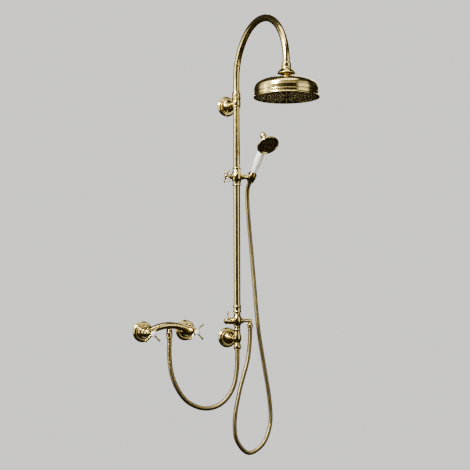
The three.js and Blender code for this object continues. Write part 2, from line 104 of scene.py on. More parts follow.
@dataclass
class Outline:
    """A profile to turn: (radius, height) points in millimetres, walked with the metal on the left.

    Attributes:
        points: the points so far.
        fillet: how far a sharp corner is eased on each side, in millimetres.
        share: the part of a run that its corner may take.
    """

    points: list[Point]
    fillet: float = 0.45
    share: float = 0.45

    @classmethod
    def start(cls, radius: float, height: float, fillet: float = 0.45) -> Outline:
        """Starts an outline at one point."""
        return cls([(radius, height)], fillet)

    def to(self, *points: Point) -> Outline:
        """Adds straight runs through points."""
        self.points.extend(points)
        return self

    def bow(self, radius: float, height: float, rise: float, steps: int = 8) -> Outline:
        """Adds a round bow to a point.

        Args:
            radius: where the bow ends.
            height: where the bow ends.
            rise: how far it stands off its chord; positive swells outwards, negative is a cove.
            steps: how many runs it is made of.

        Returns:
            The outline.
        """
        r0, z0 = self.points[-1]
        chord = math.hypot(radius - r0, height - z0)
        along = ((radius - r0) / chord, (height - z0) / chord)
        outward = (along[1], -along[0])
        half = 2 * math.atan(2 * abs(rise) / chord)
        for i in range(1, steps + 1):
            angle = half * (2 * i / steps - 1)
            reach = chord / 2 * (1 + math.sin(angle) / math.sin(half))
            off = rise * (math.cos(angle) - math.cos(half)) / (1 - math.cos(half))
            out_to, up_to = (along[i] * reach + outward[i] * off for i in range(2))
            self.points.append((r0 + out_to, z0 + up_to))
        return self

    def ring(self, radius: float, low: float, high: float, rise: float, steps: int = 8) -> Outline:
        """Steps to a radius and adds a bead or a band there.

        Args:
            radius: the radius it stands on.
            low: the height it starts at.
            high: the height it ends at.
            rise: how far its middle stands out.
            steps: how many runs it is made of.
        """
        return self.to((radius, low)).bow(radius, high, rise, steps)

    def sweep(self, radius: float, height: float, upright: bool, steps: int = 10) -> Outline:
        """Adds a quarter of an ellipse.

        Args:
            radius: where it ends.
            height: where it ends.
            upright: whether it leaves along the axis, to arrive across it, or the other way round.
            steps: how many runs it is made of.

        Returns:
            The outline.
        """
        r0, z0 = self.points[-1]
        for i in range(1, steps + 1):
            angle = i / steps * math.pi / 2
            rising, falling = math.sin(angle), math.cos(angle)
            if upright:
                self.points.append((radius + (r0 - radius) * falling, z0 + (height - z0) * rising))
            else:
                self.points.append((r0 + (radius - r0) * rising, height + (z0 - height) * falling))
        return self

    def flow(self, *points: Point, steps: int = 5) -> Outline:
        """Adds one smooth curve through points.

        Args:
            points: the points, in order.
            steps: how many runs each part is made of.

        Returns:
            The outline.
        """
        knots = [Vector(p) for p in (self.points[-1], *points)]
        knots = [2 * knots[0] - knots[1], *knots, 2 * knots[-1] - knots[-2]]
        for a, b, c, d in zip(knots, knots[1:], knots[2:], knots[3:]):
            for i in range(1, steps + 1):
                t = i / steps
                square, cube = 2 * a - 5 * b + 4 * c - d, 3 * b - 3 * c + d - a
                p = 0.5 * (2 * b + (c - a) * t + square * t**2 + cube * t**3)
                self.points.append((p.x, p.y))
        return self

    def ball(self, radius: float, centre: float, steps: int = 14) -> Outline:
        """Ends the outline with a ball on the axis, centred at a height.

        Args:
            radius: the ball's radius.
            centre: where its middle is.
            steps: how many runs it is made of.

        Returns:
            The outline.
        """
        start = -math.acos(min(1.0, self.points[-1][0] / radius))
        for i in range(steps + 1):
            angle = start + (math.pi / 2 - start) * i / steps
            self.points.append((radius * math.cos(angle), centre + radius * math.sin(angle)))
        self.points[-1] = (0.0, centre + radius)
        return self

    def closed(self) -> Outline:
        """Closes the outline into a ring."""
        self.points.append(self.points[0])
        return self

    def eased(self) -> list[Point]:
        """Returns the points with each sharp corner eased by a small round."""
        points = [Vector(p) for p in self.points]
        points = [p for i, p in enumerate(points) if i == 0 or (p - points[i - 1]).length > SAME_POINT]
        out = [points[0]]
        for before, here, after in zip(points, points[1:], points[2:]):
            back, on = before - here, after - here
            if math.pi - back.angle(on) < CORNER_ANGLE or here.x < ON_AXIS:
                out.append(here)
                continue
            ease = min(self.fillet, self.share * back.length, self.share * on.length)
            a, b = here + back.normalized() * ease, here + on.normalized() * ease
            out += [(1 - t) ** 2 * a + 2 * t * (1 - t) * here + t * t * b for t in (0, 1 / 3, 2 / 3, 1)]
        out.append(points[-1])
        return [(max(p.x, 0.0), p.y) for p in out]


# ---- the bench


class Toward(Enum):
    """Which way a turned piece's axis points."""

    UP = Matrix.Identity(4)
    VIEWER = Matrix.Rotation(math.pi / 2, 4, "X")
    WALL = Matrix.Rotation(-math.pi / 2, 4, "X")
    LEFT = Matrix.Rotation(-math.pi / 2, 4, "Y")
    RIGHT = Matrix.Rotation(math.pi / 2, 4, "Y")


class Joinery(Enum):
    """How two solids are combined."""

    UNITE = "UNION"
    CUT = "DIFFERENCE"


def at(x: float, y: float, z: float, toward: Toward = Toward.UP) -> Matrix:
    """Returns the place of a piece whose own origin goes to a point, in millimetres."""
    return Matrix.Translation(Vector((x, y, z)) * MM) @ toward.value


def round_row(radius: float, count: int, height: float, start: float = 0.0) -> list[Matrix]:
    """Returns evenly spaced places on a circle about Z.

    Args:
        radius: the circle's radius, in millimetres.
        count: how many places.
        height: the circle's height.
        start: where the first one stands, in steps.

    Returns:
        The places.
    """
    angles = [2 * math.pi * (i + start) / count for i in range(count)]
    return [at(radius * math.cos(angle), radius * math.sin(angle), height) for angle in angles]


class Bench:
    """Blender's modelling tools, in the order a maker uses them."""

    @staticmethod
    def only(piece: Piece) -> None:
        """Selects one object and nothing else."""
        bpy.ops.object.select_all(action="DESELECT")
        piece.select_set(True)
        bpy.context.view_layer.objects.active = piece

    @staticmethod
    def place(piece: Piece, place: Matrix) -> Piece:
        """Moves a piece and applies its place to its mesh.

        Args:
            piece: the piece.
            place: where it goes.

        Returns:
            The piece.
        """
        Bench.only(piece)
        piece.matrix_world = place @ piece.matrix_world
        bpy.ops.object.transform_apply(location=True, rotation=True, scale=True)
        return piece

    @staticmethod
    def smooth(piece: Piece) -> Piece:
        """Shades a finished piece smooth, and keeps its flats flat.

        Args:
            piece: the piece.

        Returns:
            The piece.
        """
        Bench.only(piece)
        bpy.ops.object.shade_smooth_by_angle(angle=SMOOTH_ANGLE)
        bpy.ops.object.modifier_add(type="WEIGHTED_NORMAL")
        modifier = piece.modifiers[-1]
        modifier.keep_sharp = True
        bpy.ops.object.modifier_apply(modifier=modifier.name)
        return piece

    @staticmethod
    def turn(name: str, outline: Outline, place: Matrix = Toward.UP.value, steps: int = 64) -> Piece:
        """Turns an outline about Z, as on a lathe.

        Args:
            name: the piece's name.
            outline: its profile, in millimetres.
            place: where it goes.
            steps: facets round it.

        Returns:
            The piece, with its place in its mesh.
        """
        points = outline.eased()
        bpy.ops.object.select_all(action="DESELECT")
        bpy.ops.mesh.primitive_plane_add(size=MM)
        piece = bpy.context.object
        piece.name = name
        bpy.ops.object.mode_set(mode="EDIT")
        bpy.ops.mesh.select_all(action="SELECT")
        bpy.ops.mesh.merge(type="CENTER")
        bpy.ops.transform.translate(value=(points[0][0] * MM, 0, points[0][1] * MM))
        for (r0, z0), (r1, z1) in zip(points, points[1:]):
            move = ((r1 - r0) * MM, 0, (z1 - z0) * MM)
            bpy.ops.mesh.extrude_vertices_move(TRANSFORM_OT_translate={"value": move})
        bpy.ops.mesh.select_all(action="SELECT")
        bpy.ops.mesh.spin(steps=steps, angle=2 * math.pi, center=(0, 0, 0), axis=(0, 0, 1))
        Bench.close_up()
        return Bench.place(piece, place)

    @staticmethod
    def close_up() -> None:
        """Merges doubles, turns the faces outwards and leaves edit mode."""
        bpy.ops.mesh.select_all(action="SELECT")
        bpy.ops.mesh.remove_doubles(threshold=WELD)
        bpy.ops.mesh.normals_make_consistent(inside=False)
        bpy.ops.object.mode_set(mode="OBJECT")

    @staticmethod
    def bend(
        name: str, radius: float, start: Spot, runs: Sequence[Run], wall: float = 0, sides: int = 48
    ) -> Piece:
        """Draws a bar or tube along straight runs and bends.

        Args:
            name: the piece's name.
            radius: the bar's radius, in millimetres.
            start: the middle of its first end.
            runs: the runs in order.
            wall: the tube's wall, or 0 for a solid bar.
            sides: facets round it.

        Returns:
            The piece, in its place.
        """
        bpy.ops.object.select_all(action="DESELECT")
        heading = runs[0].heading
        bpy.ops.mesh.primitive_circle_add(
            vertices=sides,
            radius=radius * MM,
            location=Vector(start) * MM,
            rotation=Vector((0, 0, 1)).rotation_difference(heading).to_euler(),
        )
        piece = bpy.context.object
        piece.name = name
        bpy.ops.object.transform_apply(location=True, rotation=True, scale=True)
        bpy.ops.object.mode_set(mode="EDIT")
        bpy.ops.mesh.select_all(action="SELECT")
        for run in runs:
            run.draw()
        if not wall:
            bpy.ops.mesh.select_all(action="SELECT")
            bpy.ops.mesh.fill_holes(sides=0)
        Bench.close_up()
        if wall:
            bpy.ops.object.modifier_add(type="SOLIDIFY")
            modifier = piece.modifiers[-1]
            modifier.thickness = wall * MM
            modifier.offset = -1
            bpy.ops.object.modifier_apply(modifier=modifier.name)
        return piece

    @staticmethod
    def combine(base: Piece, others: Iterable[Piece], how: Joinery) -> Piece:
        """Unites other solids with a base, or cuts them out of it, and uses them up.

        Args:
            base: the solid that is kept.
            others: the other solids.
            how: whether they are united or cut.

        Returns:
            The base.
        """
        for other in others:
            Bench.only(base)
            bpy.ops.object.modifier_add(type="BOOLEAN")
            modifier = base.modifiers[-1]
            modifier.operation = how.value
            modifier.solver = "EXACT"
            modifier.object = other
            bpy.ops.object.modifier_apply(modifier=modifier.name)
            bpy.data.objects.remove(other)
        Bench.only(base)
        bpy.ops.object.mode_set(mode="EDIT")
        bpy.ops.mesh.select_all(action="SELECT")
        bpy.ops.mesh.dissolve_degenerate(threshold=SLIVER)
        bpy.ops.object.mode_set(mode="OBJECT")
        return base

    @staticmethod
    def unite(base: Piece, *others: Piece) -> Piece:
        """Unites other solids with a base."""
        return Bench.combine(base, others, Joinery.UNITE)

    @staticmethod
    def cut(base: Piece, *tools: Piece) -> Piece:
        """Cuts other solids out of a base."""
        return Bench.combine(base, tools, Joinery.CUT)

    @staticmethod
    def repeat(name: str, master: Piece, places: Iterable[Matrix]) -> Piece:
        """Copies a master, each copy with its own mesh, and joins the copies.

        Args:
            name: the joined piece's name.
            master: what is copied; it is used up.
            places: where the copies go.

        Returns:
            The joined piece.
        """
        copies = []
        for place in places:
            copy = master.copy()
            copy.data = master.data.copy()
            copy.matrix_world = place
            bpy.context.collection.objects.link(copy)
            copies.append(copy)
        bpy.data.objects.remove(master)
        bpy.ops.object.select_all(action="DESELECT")
        for copy in copies:
            copy.select_set(True)
        bpy.context.view_layer.objects.active = copies[0]
        bpy.ops.object.join()
        bpy.ops.object.transform_apply(location=True, rotation=True, scale=True)
        copies[0].name = name
        return copies[0]


@dataclass(frozen=True)
class Straight:
    """A straight run of a bar: its direction and its length in millimetres."""

    heading: Vector
    length: float

    def draw(self) -> None:
        """Extrudes the selected end along the run."""
        move = self.heading * self.length * MM
        bpy.ops.mesh.extrude_region_move(TRANSFORM_OT_translate={"value": move})


@dataclass(frozen=True)
class Curved:
    """A bend of a bar: its centre in millimetres, its axis by the right-hand rule, and its angle."""

    heading: Vector
    centre: Spot
    axis: Spot
    angle: float
    steps: int = 24

    def draw(self) -> None:
        """Spins the selected end round the bend; the operator turns against the right hand."""
        bpy.ops.mesh.spin(
            steps=self.steps,
            angle=self.angle,
            center=Vector(self.centre) * MM,
            axis=-Vector(self.axis),
        )


Run = Straight | Curved


# ---- finishes


class Recipe:
    """A node tree that is put together by short calls."""

    def __init__(self, tree: Tree) -> None:
        """Keeps the tree that is worked on."""
        self.tree = tree

    def node(self, kind: str, values: dict | None = None, **settings: object) -> Node:
        """Adds a node.

        Args:
            kind: its type, without the ShaderNode prefix.
            values: constants or source sockets, by the name or number of the input.
            settings: the node's own properties.

        Returns:
            The node.
        """
        node = self.tree.nodes.new("ShaderNode" + kind)
        for key, value in settings.items():
            setattr(node, key, value)
        return self.feed(node, values or {})

    def feed(self, node: Node, values: dict) -> Node:
        """Gives a node's inputs their constants or source sockets, and returns the node.

        Args:
            node: the node.
            values: constants or source sockets, by the name or number of the input.

        Returns:
            The node.
        """
        for key, value in values.items():
            if isinstance(value, Socket):
                self.tree.links.new(value, node.inputs[key])
            else:
                node.inputs[key].default_value = value
        return node

    def group(self, group: Tree, values: dict) -> Node:
        """Places a node group with its own values."""
        node = self.tree.nodes.new("ShaderNodeGroup")
        node.node_tree = group
        return self.feed(node, values)

    def spread(
        self, value: Socket, low: float, high: float, start: float = 0.3, end: float = 0.7
    ) -> Socket:
        """Maps a value that runs from start to end, to run from low to high."""
        return self.node("MapRange", {0: value, 1: start, 2: end, 3: low, 4: high}).outputs[0]

    def blend(self, factor: Socket, one: Spot, two: Spot) -> Socket:
        """Mixes two colours by a factor."""
        return self.node("Mix", {0: factor, 6: (*one, 1), 7: (*two, 1)}, data_type="RGBA").outputs[2]

    def tint(self, factor: float, colour: Socket, by: Socket) -> Socket:
        """Multiplies a colour by another, as far as a factor says."""
        values = {0: factor, 6: colour, 7: by}
        return self.node("Mix", values, data_type="RGBA", blend_type="MULTIPLY").outputs[2]

    def spotted(self, spots: Socket, amount: float, rough: Socket) -> Socket:
        """Makes a roughness higher by an amount where there are spots."""
        values = {0: spots, 1: amount, 2: rough}
        return self.node("Math", values, operation="MULTIPLY_ADD").outputs[0]

    def bump(self, strength: float, distance: float, height: Socket) -> Socket:
        """Turns a height into a normal; the distance is in metres."""
        values = {"Strength": strength, "Distance": distance, "Height": height}
        return self.node("Bump", values).outputs[0]


def new_group(
    name: str, inputs: dict[str, float], outputs: Sequence[str]
) -> tuple[Tree, Recipe, Node, Node]:
    """Makes an empty node group with a Vector input.

    Args:
        name: the group's name.
        inputs: its number inputs and their usual values.
        outputs: its number outputs.

    Returns:
        The group, its recipe, its input node and its output node.
    """
    tree = bpy.data.node_groups.new(name, "ShaderNodeTree")
    tree.interface.new_socket("Vector", in_out="INPUT", socket_type="NodeSocketVector")
    for key, value in inputs.items():
        socket = tree.interface.new_socket(key, in_out="INPUT", socket_type="NodeSocketFloat")
        socket.default_value = value
    for key in outputs:
        tree.interface.new_socket(key, in_out="OUTPUT", socket_type="NodeSocketFloat")
    entry = tree.nodes.new("NodeGroupInput")
    leave = tree.nodes.new("NodeGroupOutput")
    return tree, Recipe(tree), entry, leave


class Effects:
    """The node groups that several finishes share."""

    def __init__(self) -> None:
        """Builds the groups once."""
        self.handling = self._handling()
        self.polishing = self._polishing()
        self.water = self._water()

    @staticmethod
    def _handling() -> Tree:
        """Cloudy wiping marks: broad patches broken up by finer ones.

        Returns:
            The group.
        """
        inputs = {"Scale": 20.0, "Detail": 4.0}
        tree, make, entry, leave = new_group("wiping_marks", inputs, ["Cloud", "Patch"])
        vector, scale = entry.outputs["Vector"], entry.outputs["Scale"]
        broad = {"Vector": vector, "Scale": scale, "Detail": entry.outputs["Detail"]}
        cloud = make.node("TexNoise", broad)
        finer = make.node("Math", {0: scale, 1: 4.3}, operation="MULTIPLY").outputs[0]
        fine = {"Vector": vector, "Scale": finer, "Detail": 2.0, "Distortion": 0.8}
        patch = make.node("TexNoise", fine)
        tree.links.new(cloud.outputs[0], leave.inputs["Cloud"])
        tree.links.new(patch.outputs[0], leave.inputs["Patch"])
        return tree

    @staticmethod
    def _polishing() -> Tree:
        """Hairline polishing marks round a turned piece, as a height.

        Returns:
            The group.
        """
        tree, make, entry, leave = new_group("polishing_lines", {"Scale": 60.0}, ["Height"])
        stretched = make.node("Mapping", {"Vector": entry.outputs["Vector"], "Scale": (1.0, 1.0, 14.0)})
        values = {"Vector": stretched.outputs[0], "Scale": entry.outputs["Scale"]}
        lines = make.node("TexNoise", {**values, "Detail": 5.0, "Roughness": 0.6})
        tree.links.new(lines.outputs[0], leave.inputs["Height"])
        return tree

    @staticmethod
    def _water() -> Tree:
        """Dried water spots: a sparse mask of small rings.

        Returns:
            The group.
        """
        tree, make, entry, leave = new_group("water_spots", {"Scale": 160.0, "Amount": 0.3}, ["Mask"])
        values = {"Vector": entry.outputs["Vector"], "Scale": entry.outputs["Scale"]}
        cells = make.node("TexVoronoi", {**values, "Randomness": 1.0})
        size, width = 0.16, 0.045
        edge = {0: cells.outputs["Distance"], 1: size, 2: width}
        ring = make.node("Math", edge, operation="COMPARE")
        draw = {0: cells.outputs["Color"], 1: entry.outputs["Amount"]}
        chance = make.node("Math", draw, operation="LESS_THAN")
        mask = make.node("Math", {0: ring.outputs[0], 1: chance.outputs[0]}, operation="MULTIPLY")
        tree.links.new(mask.outputs[0], leave.inputs["Mask"])
        return tree


@dataclass(frozen=True)
class PolishedBrass:
    """Lacquered yellow brass, polished bright, with wiping marks and dried drops.

    Attributes:
        name: the material's name.
        bright: its colour where it is clean.
        dull: its colour where it has darkened.
        smooth: its roughness where it is clean.
        rubbed: its roughness where it has been wiped.
    """

    name: str = "polished_brass"
    bright: Spot = (0.74, 0.625, 0.295)
    dull: Spot = (0.65, 0.535, 0.235)
    smooth: float = 0.18
    rubbed: float = 0.25

    def material(self, effects: Effects) -> Material:
        """Builds the material.

        Args:
            effects: the node groups that finishes share.

        Returns:
            The material.
        """
        material, make, shader = blank(self.name)
        vector = make.node("TexCoord").outputs["Object"]
        marks = make.group(effects.handling, {"Vector": vector, "Scale": 22.0, "Detail": 5.0})
        lines = make.group(effects.polishing, {"Vector": vector, "Scale": 70.0})
        drops = make.group(effects.water, {"Vector": vector, "Scale": 260.0, "Amount": 0.1})
        cloud = make.spread(marks.outputs["Cloud"], 0.0, 1.0, 0.38, 0.68)
        colour = make.blend(cloud, self.bright, self.dull)
        rough = make.spread(marks.outputs["Patch"], self.smooth, self.rubbed, 0.35, 0.75)
        spotted = make.spotted(drops.outputs["Mask"], 0.06, rough)
        normal = make.bump(0.015, 0.0001, lines.outputs["Height"])
        make.feed(shader, {"Metallic": 1.0, "Base Color": colour, "Roughness": spotted})
        make.feed(shader, {"Normal": normal})
        return material


@dataclass(frozen=True)
class HoseMetal:
    """Double-wound brass hose: bright crests, with painted shade in the grooves between the turns."""

    name: str = "metal_hose"
    crest: Spot = (0.54, 0.445, 0.22)
    # Painted shade: a near-black colour standing in for the shadow in the hollows between the turns.
    groove_shade: Spot = (0.09, 0.065, 0.03)
    smooth: float = 0.26
    rubbed: float = 0.38

    def material(self, effects: Effects) -> Material:
        """Builds the material, which reads the winding attribute of a hose's mesh and by it paints
        shade into the grooves.

        Args:
            effects: the node groups that finishes share.

        Returns:
            The material.
        """
        material, make, shader = blank(self.name)
        vector = make.node("TexCoord").outputs["Object"]
        depth = make.node("Attribute", attribute_name="crest").outputs["Fac"]
        marks = make.group(effects.handling, {"Vector": vector, "Scale": 45.0, "Detail": 3.0})
        # Painted shade: the colour runs to near black towards the grooves of the winding, where shadow
        # falls.
        colour = make.blend(make.spread(depth, 0.0, 1.0, 0.05, 0.55), self.groove_shade, self.crest)
        shade = make.tint(0.35, colour, marks.outputs["Cloud"])
        rough = make.spread(marks.outputs["Patch"], self.smooth, self.rubbed)
        normal = make.bump(0.05, 0.0004, marks.outputs["Patch"])
        make.feed(shader, {"Metallic": 1.0, "Base Color": shade, "Roughness": rough, "Normal": normal})
        return material


@dataclass(frozen=True)
class GlazedCeramic:
    """White glazed porcelain: a faint ripple in the glaze and a warm cast in the body."""

    name: str = "white_ceramic"
    white: Spot = (0.95, 0.94, 0.91)
    warm: Spot = (0.90, 0.88, 0.83)
    smooth: float = 0.14
    rough: float = 0.24

    def material(self, effects: Effects) -> Material:
        """Builds the material.

        Args:
            effects: the node groups that finishes share.

        Returns:
            The material.
        """
        material, make, shader = blank(self.name)
        vector = make.node("TexCoord").outputs["Object"]
        marks = make.group(effects.handling, {"Vector": vector, "Scale": 30.0, "Detail": 3.0})
        cells = make.node("TexVoronoi", {"Vector": vector, "Scale": 190.0}, feature="DISTANCE_TO_EDGE")
        craze = make.spread(cells.outputs["Distance"], 0.0, 1.0, 0.0, 0.03)
        body = make.blend(make.spread(marks.outputs["Cloud"], 0.0, 0.6), self.white, self.warm)
        rough = make.spread(marks.outputs["Patch"], self.smooth, self.rough)
        normal = make.bump(0.08, 0.0003, marks.outputs["Patch"])
        colour = make.tint(0.05, body, craze)
        make.feed(shader, {"Coat Weight": 0.7, "Coat Roughness": 0.04})
        make.feed(shader, {"Base Color": colour, "Roughness": rough, "Normal": normal})
        return material


@dataclass(frozen=True)
class TintedMetal:
    """A plainer metal or plastic with mottled colour, for spray faces, screws and bushes.

    Attributes:
        name: the material's name.
        light: its lighter colour.
        dark: its darker colour.
        metallic: 1 for metal and 0 for plastic.
        smooth: its lowest roughness.
        rough: its highest roughness.
        scale: the size of the mottling, in patches a metre.
    """

    name: str
    light: Spot
    dark: Spot
    metallic: float
    smooth: float
    rough: float
    scale: float = 60.0

    def material(self, effects: Effects) -> Material:
        """Builds the material.

        Args:
            effects: the node groups that finishes share.

        Returns:
            The material.
        """
        material, make, shader = blank(self.name)
        vector = make.node("TexCoord").outputs["Object"]
        marks = make.group(effects.handling, {"Vector": vector, "Scale": self.scale, "Detail": 5.0})
        drops = make.group(effects.water, {"Vector": vector, "Scale": 260.0, "Amount": 0.35})
        colour = make.blend(make.spread(marks.outputs["Cloud"], 0.0, 1.0), self.light, self.dark)
        rough = make.spread(marks.outputs["Patch"], self.smooth, self.rough)
        spotted = make.spotted(drops.outputs["Mask"], 0.15, rough)
        normal = make.bump(0.12, 0.0003, marks.outputs["Patch"])
        make.feed(shader, {"Metallic": self.metallic, "Base Color": colour})
        make.feed(shader, {"Roughness": spotted, "Normal": normal})
        return material


def blank(name: str) -> tuple[Material, Recipe, Node]:
    """Returns a new material, its recipe and its shader."""
    material = bpy.data.materials.new(name)
    material.use_nodes = True
    return material, Recipe(material.node_tree), material.node_tree.nodes["Principled BSDF"]


class Slot(Enum):
    """The material slots of the part."""

    BRASS = "polished_brass"
    HOSE = "metal_hose"
    CERAMIC = "white_ceramic"
    SPRAY = "spray_face"
    STEEL = "steel"
    NYLON = "nylon"


class Finishes:
    """Every finish of the shower, by slot."""

    def __init__(self) -> None:
        """Builds the materials."""
        self.effects = Effects()
        spray = TintedMetal("spray_face", (0.17, 0.14, 0.075), (0.09, 0.07, 0.036), 0.85, 0.28, 0.45)
        finishes = {
            Slot.BRASS: PolishedBrass(),
            Slot.HOSE: HoseMetal(),
            Slot.CERAMIC: GlazedCeramic(),
            Slot.SPRAY: spray,
            Slot.STEEL: TintedMetal("steel", (0.55, 0.55, 0.54), (0.42, 0.42, 0.41), 1.0, 0.22, 0.4),
            Slot.NYLON: TintedMetal("nylon", (0.78, 0.76, 0.70), (0.66, 0.63, 0.56), 0.0, 0.4, 0.6),
        }
        self.materials = {slot: finish.material(self.effects) for slot, finish in finishes.items()}
        nozzle = TintedMetal("nozzle_brass", (0.48, 0.40, 0.21), (0.32, 0.26, 0.13), 0.9, 0.28, 0.4)
        self.nozzle = nozzle.material(self.effects)

    def dress(self, piece: Piece, slot: Slot) -> None:
        """Gives a piece one finish all over.

        Args:
            piece: the piece.
            slot: the finish.
        """
        piece.data.materials.clear()
        piece.data.materials.append(self.materials[slot])
        for face in piece.data.polygons:
            face.material_index = 0


@dataclass
class Assembly:
    """What every sub-assembly shares.

    Attributes:
        finishes: the finishes it is dressed in.
    """

    finishes: Finishes

    def fit(self, piece: Piece, body: str, *nodes: str, slot: Slot = Slot.BRASS) -> Piece:
        """Finishes a piece and hands it over to the frame.

        Args:
            piece: the piece.
            body: the CAD body that it rides on.
            nodes: the CAD nodes that it stands for.
            slot: its finish.

        Returns:
            The piece.
        """
        Bench.smooth(piece)
        self.finishes.dress(piece, slot)
        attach(piece, body)
        if nodes:
            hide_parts(*nodes)
        log.info("%s: %d faces on %s", piece.name, len(piece.data.polygons), body)
        return piece

    def turned(
        self,
        name: str,
        outline: Outline,
        place: Matrix,
        body: str,
        *nodes: str,
        steps: int = 64,
        slot: Slot = Slot.BRASS,
    ) -> Piece:
        """Turns one outline and fits it as a piece of its own.

        Args:
            name: the piece's name.
            outline: its profile, in millimetres.
            place: where it goes.
            body: the CAD body that it rides on.
            nodes: the CAD nodes that it stands for.
            steps: facets round it.
            slot: its finish.

        Returns:
            The piece.
        """
        return self.fit(Bench.turn(name, outline, place, steps), body, *nodes, slot=slot)


# ---- sizes that pieces share

RISER_OUT = 76.0
RISER_R = 11.0
RISER_WALL = 1.3
UPPER_Z = 787.0
ARM_REACH = 335.0
DIVERTER_Z = 60.0
SLIDER_Z = 540.0
CRADLE_X = 56.0
LEAN = math.radians(42)
FACE_TILT = math.radians(6)
HEAD_ALONG = 150.0
MIXER_X = -231.0
MIXER_Z = 30.0
INLET_HALF = 75.0
BAR_OUT = 46.0
RISER_AT = (0.0, -RISER_OUT)
ON_RISER = at(*RISER_AT, 0)


# ---- hoses


@dataclass
class Hose:
    """A hose's route and winding.

    Attributes:
        knots: the points its centre line runs through, in metres.
        radius: its outer radius.
        pitch: the length of one turn of the winding.
        depth: how deep the groove is.
        bluntness: how flat the crests are; below 1 they are flatter.
        sides: facets round it.
        per_turn: rings in one turn of the winding.
        passes: how often the route is evened out.
        line: the even centre line, made from the knots.
    """

    knots: list[Spot]
    radius: float
    pitch: float = 0.003
    depth: float = 0.0006
    bluntness: float = 0.45
    sides: int = 18
    per_turn: int = 6
    passes: int = 60
    line: np.ndarray = field(init=False)

    def __post_init__(self) -> None:
        """Resamples the route evenly, a few rings to each turn."""
        dense = self._through(np.array(self.knots))
        for _ in range(self.passes):
            dense[2:-2] = 0.25 * dense[1:-3] + 0.5 * dense[2:-2] + 0.25 * dense[3:-1]
        run = np.concatenate([[0], np.cumsum(np.linalg.norm(np.diff(dense, axis=0), axis=1))])
        even = np.linspace(0, run[-1], self.rings_in(run[-1]) + 1)
        self.line = np.stack([np.interp(even, run, dense[:, i]) for i in range(3)], 1)

    def rings_in(self, length: float) -> int:
        """Returns how many rings a length in metres has."""
        return int(round(length / self.pitch * self.per_turn))

    @staticmethod
    def _through(knots: np.ndarray, steps: int = 40) -> np.ndarray:
        """Returns a dense centripetal curve through the knots.

        Args:
            knots: the points it runs through.
            steps: how many points each gap gets.
        """
        knots = np.vstack([2 * knots[0] - knots[1], knots, 2 * knots[-1] - knots[-2]])
        out = []
        t = np.linspace(0, 1, steps, endpoint=False)[:, None]
        for a, b, c, d in zip(knots, knots[1:], knots[2:], knots[3:]):
            before, here, after = (math.sqrt(np.linalg.norm(gap)) for gap in (b - a, c - b, d - c))
            leave = ((b - a) / before - (c - a) / (before + here) + (c - b) / here) * here
            arrive = ((c - b) / here - (d - b) / (here + after) + (d - c) / after) * here
            square, cube = 3 * (c - b) - 2 * leave - arrive, 2 * (b - c) + leave + arrive
            out.append(b + leave * t + square * t**2 + cube * t**3)
        return np.vstack([*out, knots[-2:-1]])

    @staticmethod
    def _frames(line: np.ndarray) -> tuple[np.ndarray, np.ndarray]:
        """Returns two unit vectors across the line at each point, which don't twist round it.

        Args:
            line: the centre line.
        """
        along = np.gradient(line, axis=0)
        along /= np.linalg.norm(along, axis=1)[:, None]
        across = np.zeros_like(line)
        side = np.cross(along[0], (0.0, 1.0, 0.0))
        for i, direction in enumerate(along):
            side = side - direction * np.dot(side, direction)
            side /= np.linalg.norm(side)
            across[i] = side
        return across, np.cross(along, across)

    def length(self, first: int = 0, last: int | None = None) -> float:
        """Returns the length of a stretch of the line, in metres."""
        return float(np.linalg.norm(np.diff(self.line[first:last], axis=0), axis=1).sum())

    def piece(self, name: str, first: int = 0, last: int | None = None) -> tuple[Piece, list[Spot]]:
        """Makes the wound tube of a stretch of the line.

        Args:
            name: the piece's name.
            first: the ring that it starts at.
            last: the ring that it ends at.

        Returns:
            The piece and the points of its centre line.
        """
        last = len(self.line) - 1 if last is None else last
        one, two = self._frames(self.line)
        rings = np.arange(first, last + 1)
        turn = np.arange(self.sides) / self.sides
        phase = rings[:, None] / self.per_turn - turn[None, :]
        crest = np.abs(np.cos(math.pi * phase)) ** self.bluntness
        reach = self.radius - self.depth * (1 - crest)
        angle = 2 * math.pi * turn[None, :, None]
        outward = np.cos(angle) * one[rings][:, None, :] + np.sin(angle) * two[rings][:, None, :]
        spots = self.line[rings][:, None, :] + reach[:, :, None] * outward
        shell = bmesh.new()
        verts = [[shell.verts.new(p) for p in ring] for ring in spots]
        for below, above in zip(verts, verts[1:]):
            for i in range(self.sides):
                j = (i + 1) % self.sides
                shell.faces.new((below[i], below[j], above[j], above[i]))
        shell.faces.new(list(reversed(verts[0])))
        shell.faces.new(verts[-1])
        bmesh.ops.recalc_face_normals(shell, faces=shell.faces)
        mesh = bpy.data.meshes.new(name)
        shell.to_mesh(mesh)
        shell.free()
        winding = mesh.attributes.new("crest", "FLOAT", "POINT")
        winding.data.foreach_set("value", crest.astype(np.float32).ravel())
        piece = bpy.data.objects.new(name, mesh)
        bpy.context.collection.objects.link(piece)
        for face in mesh.polygons:
            face.use_smooth = True
        path = [tuple(p) for p in self.line[rings[:: self.per_turn]]]
        if rings[-1] % self.per_turn != rings[0] % self.per_turn:
            path.append(tuple(self.line[rings[-1]]))
        return piece, path


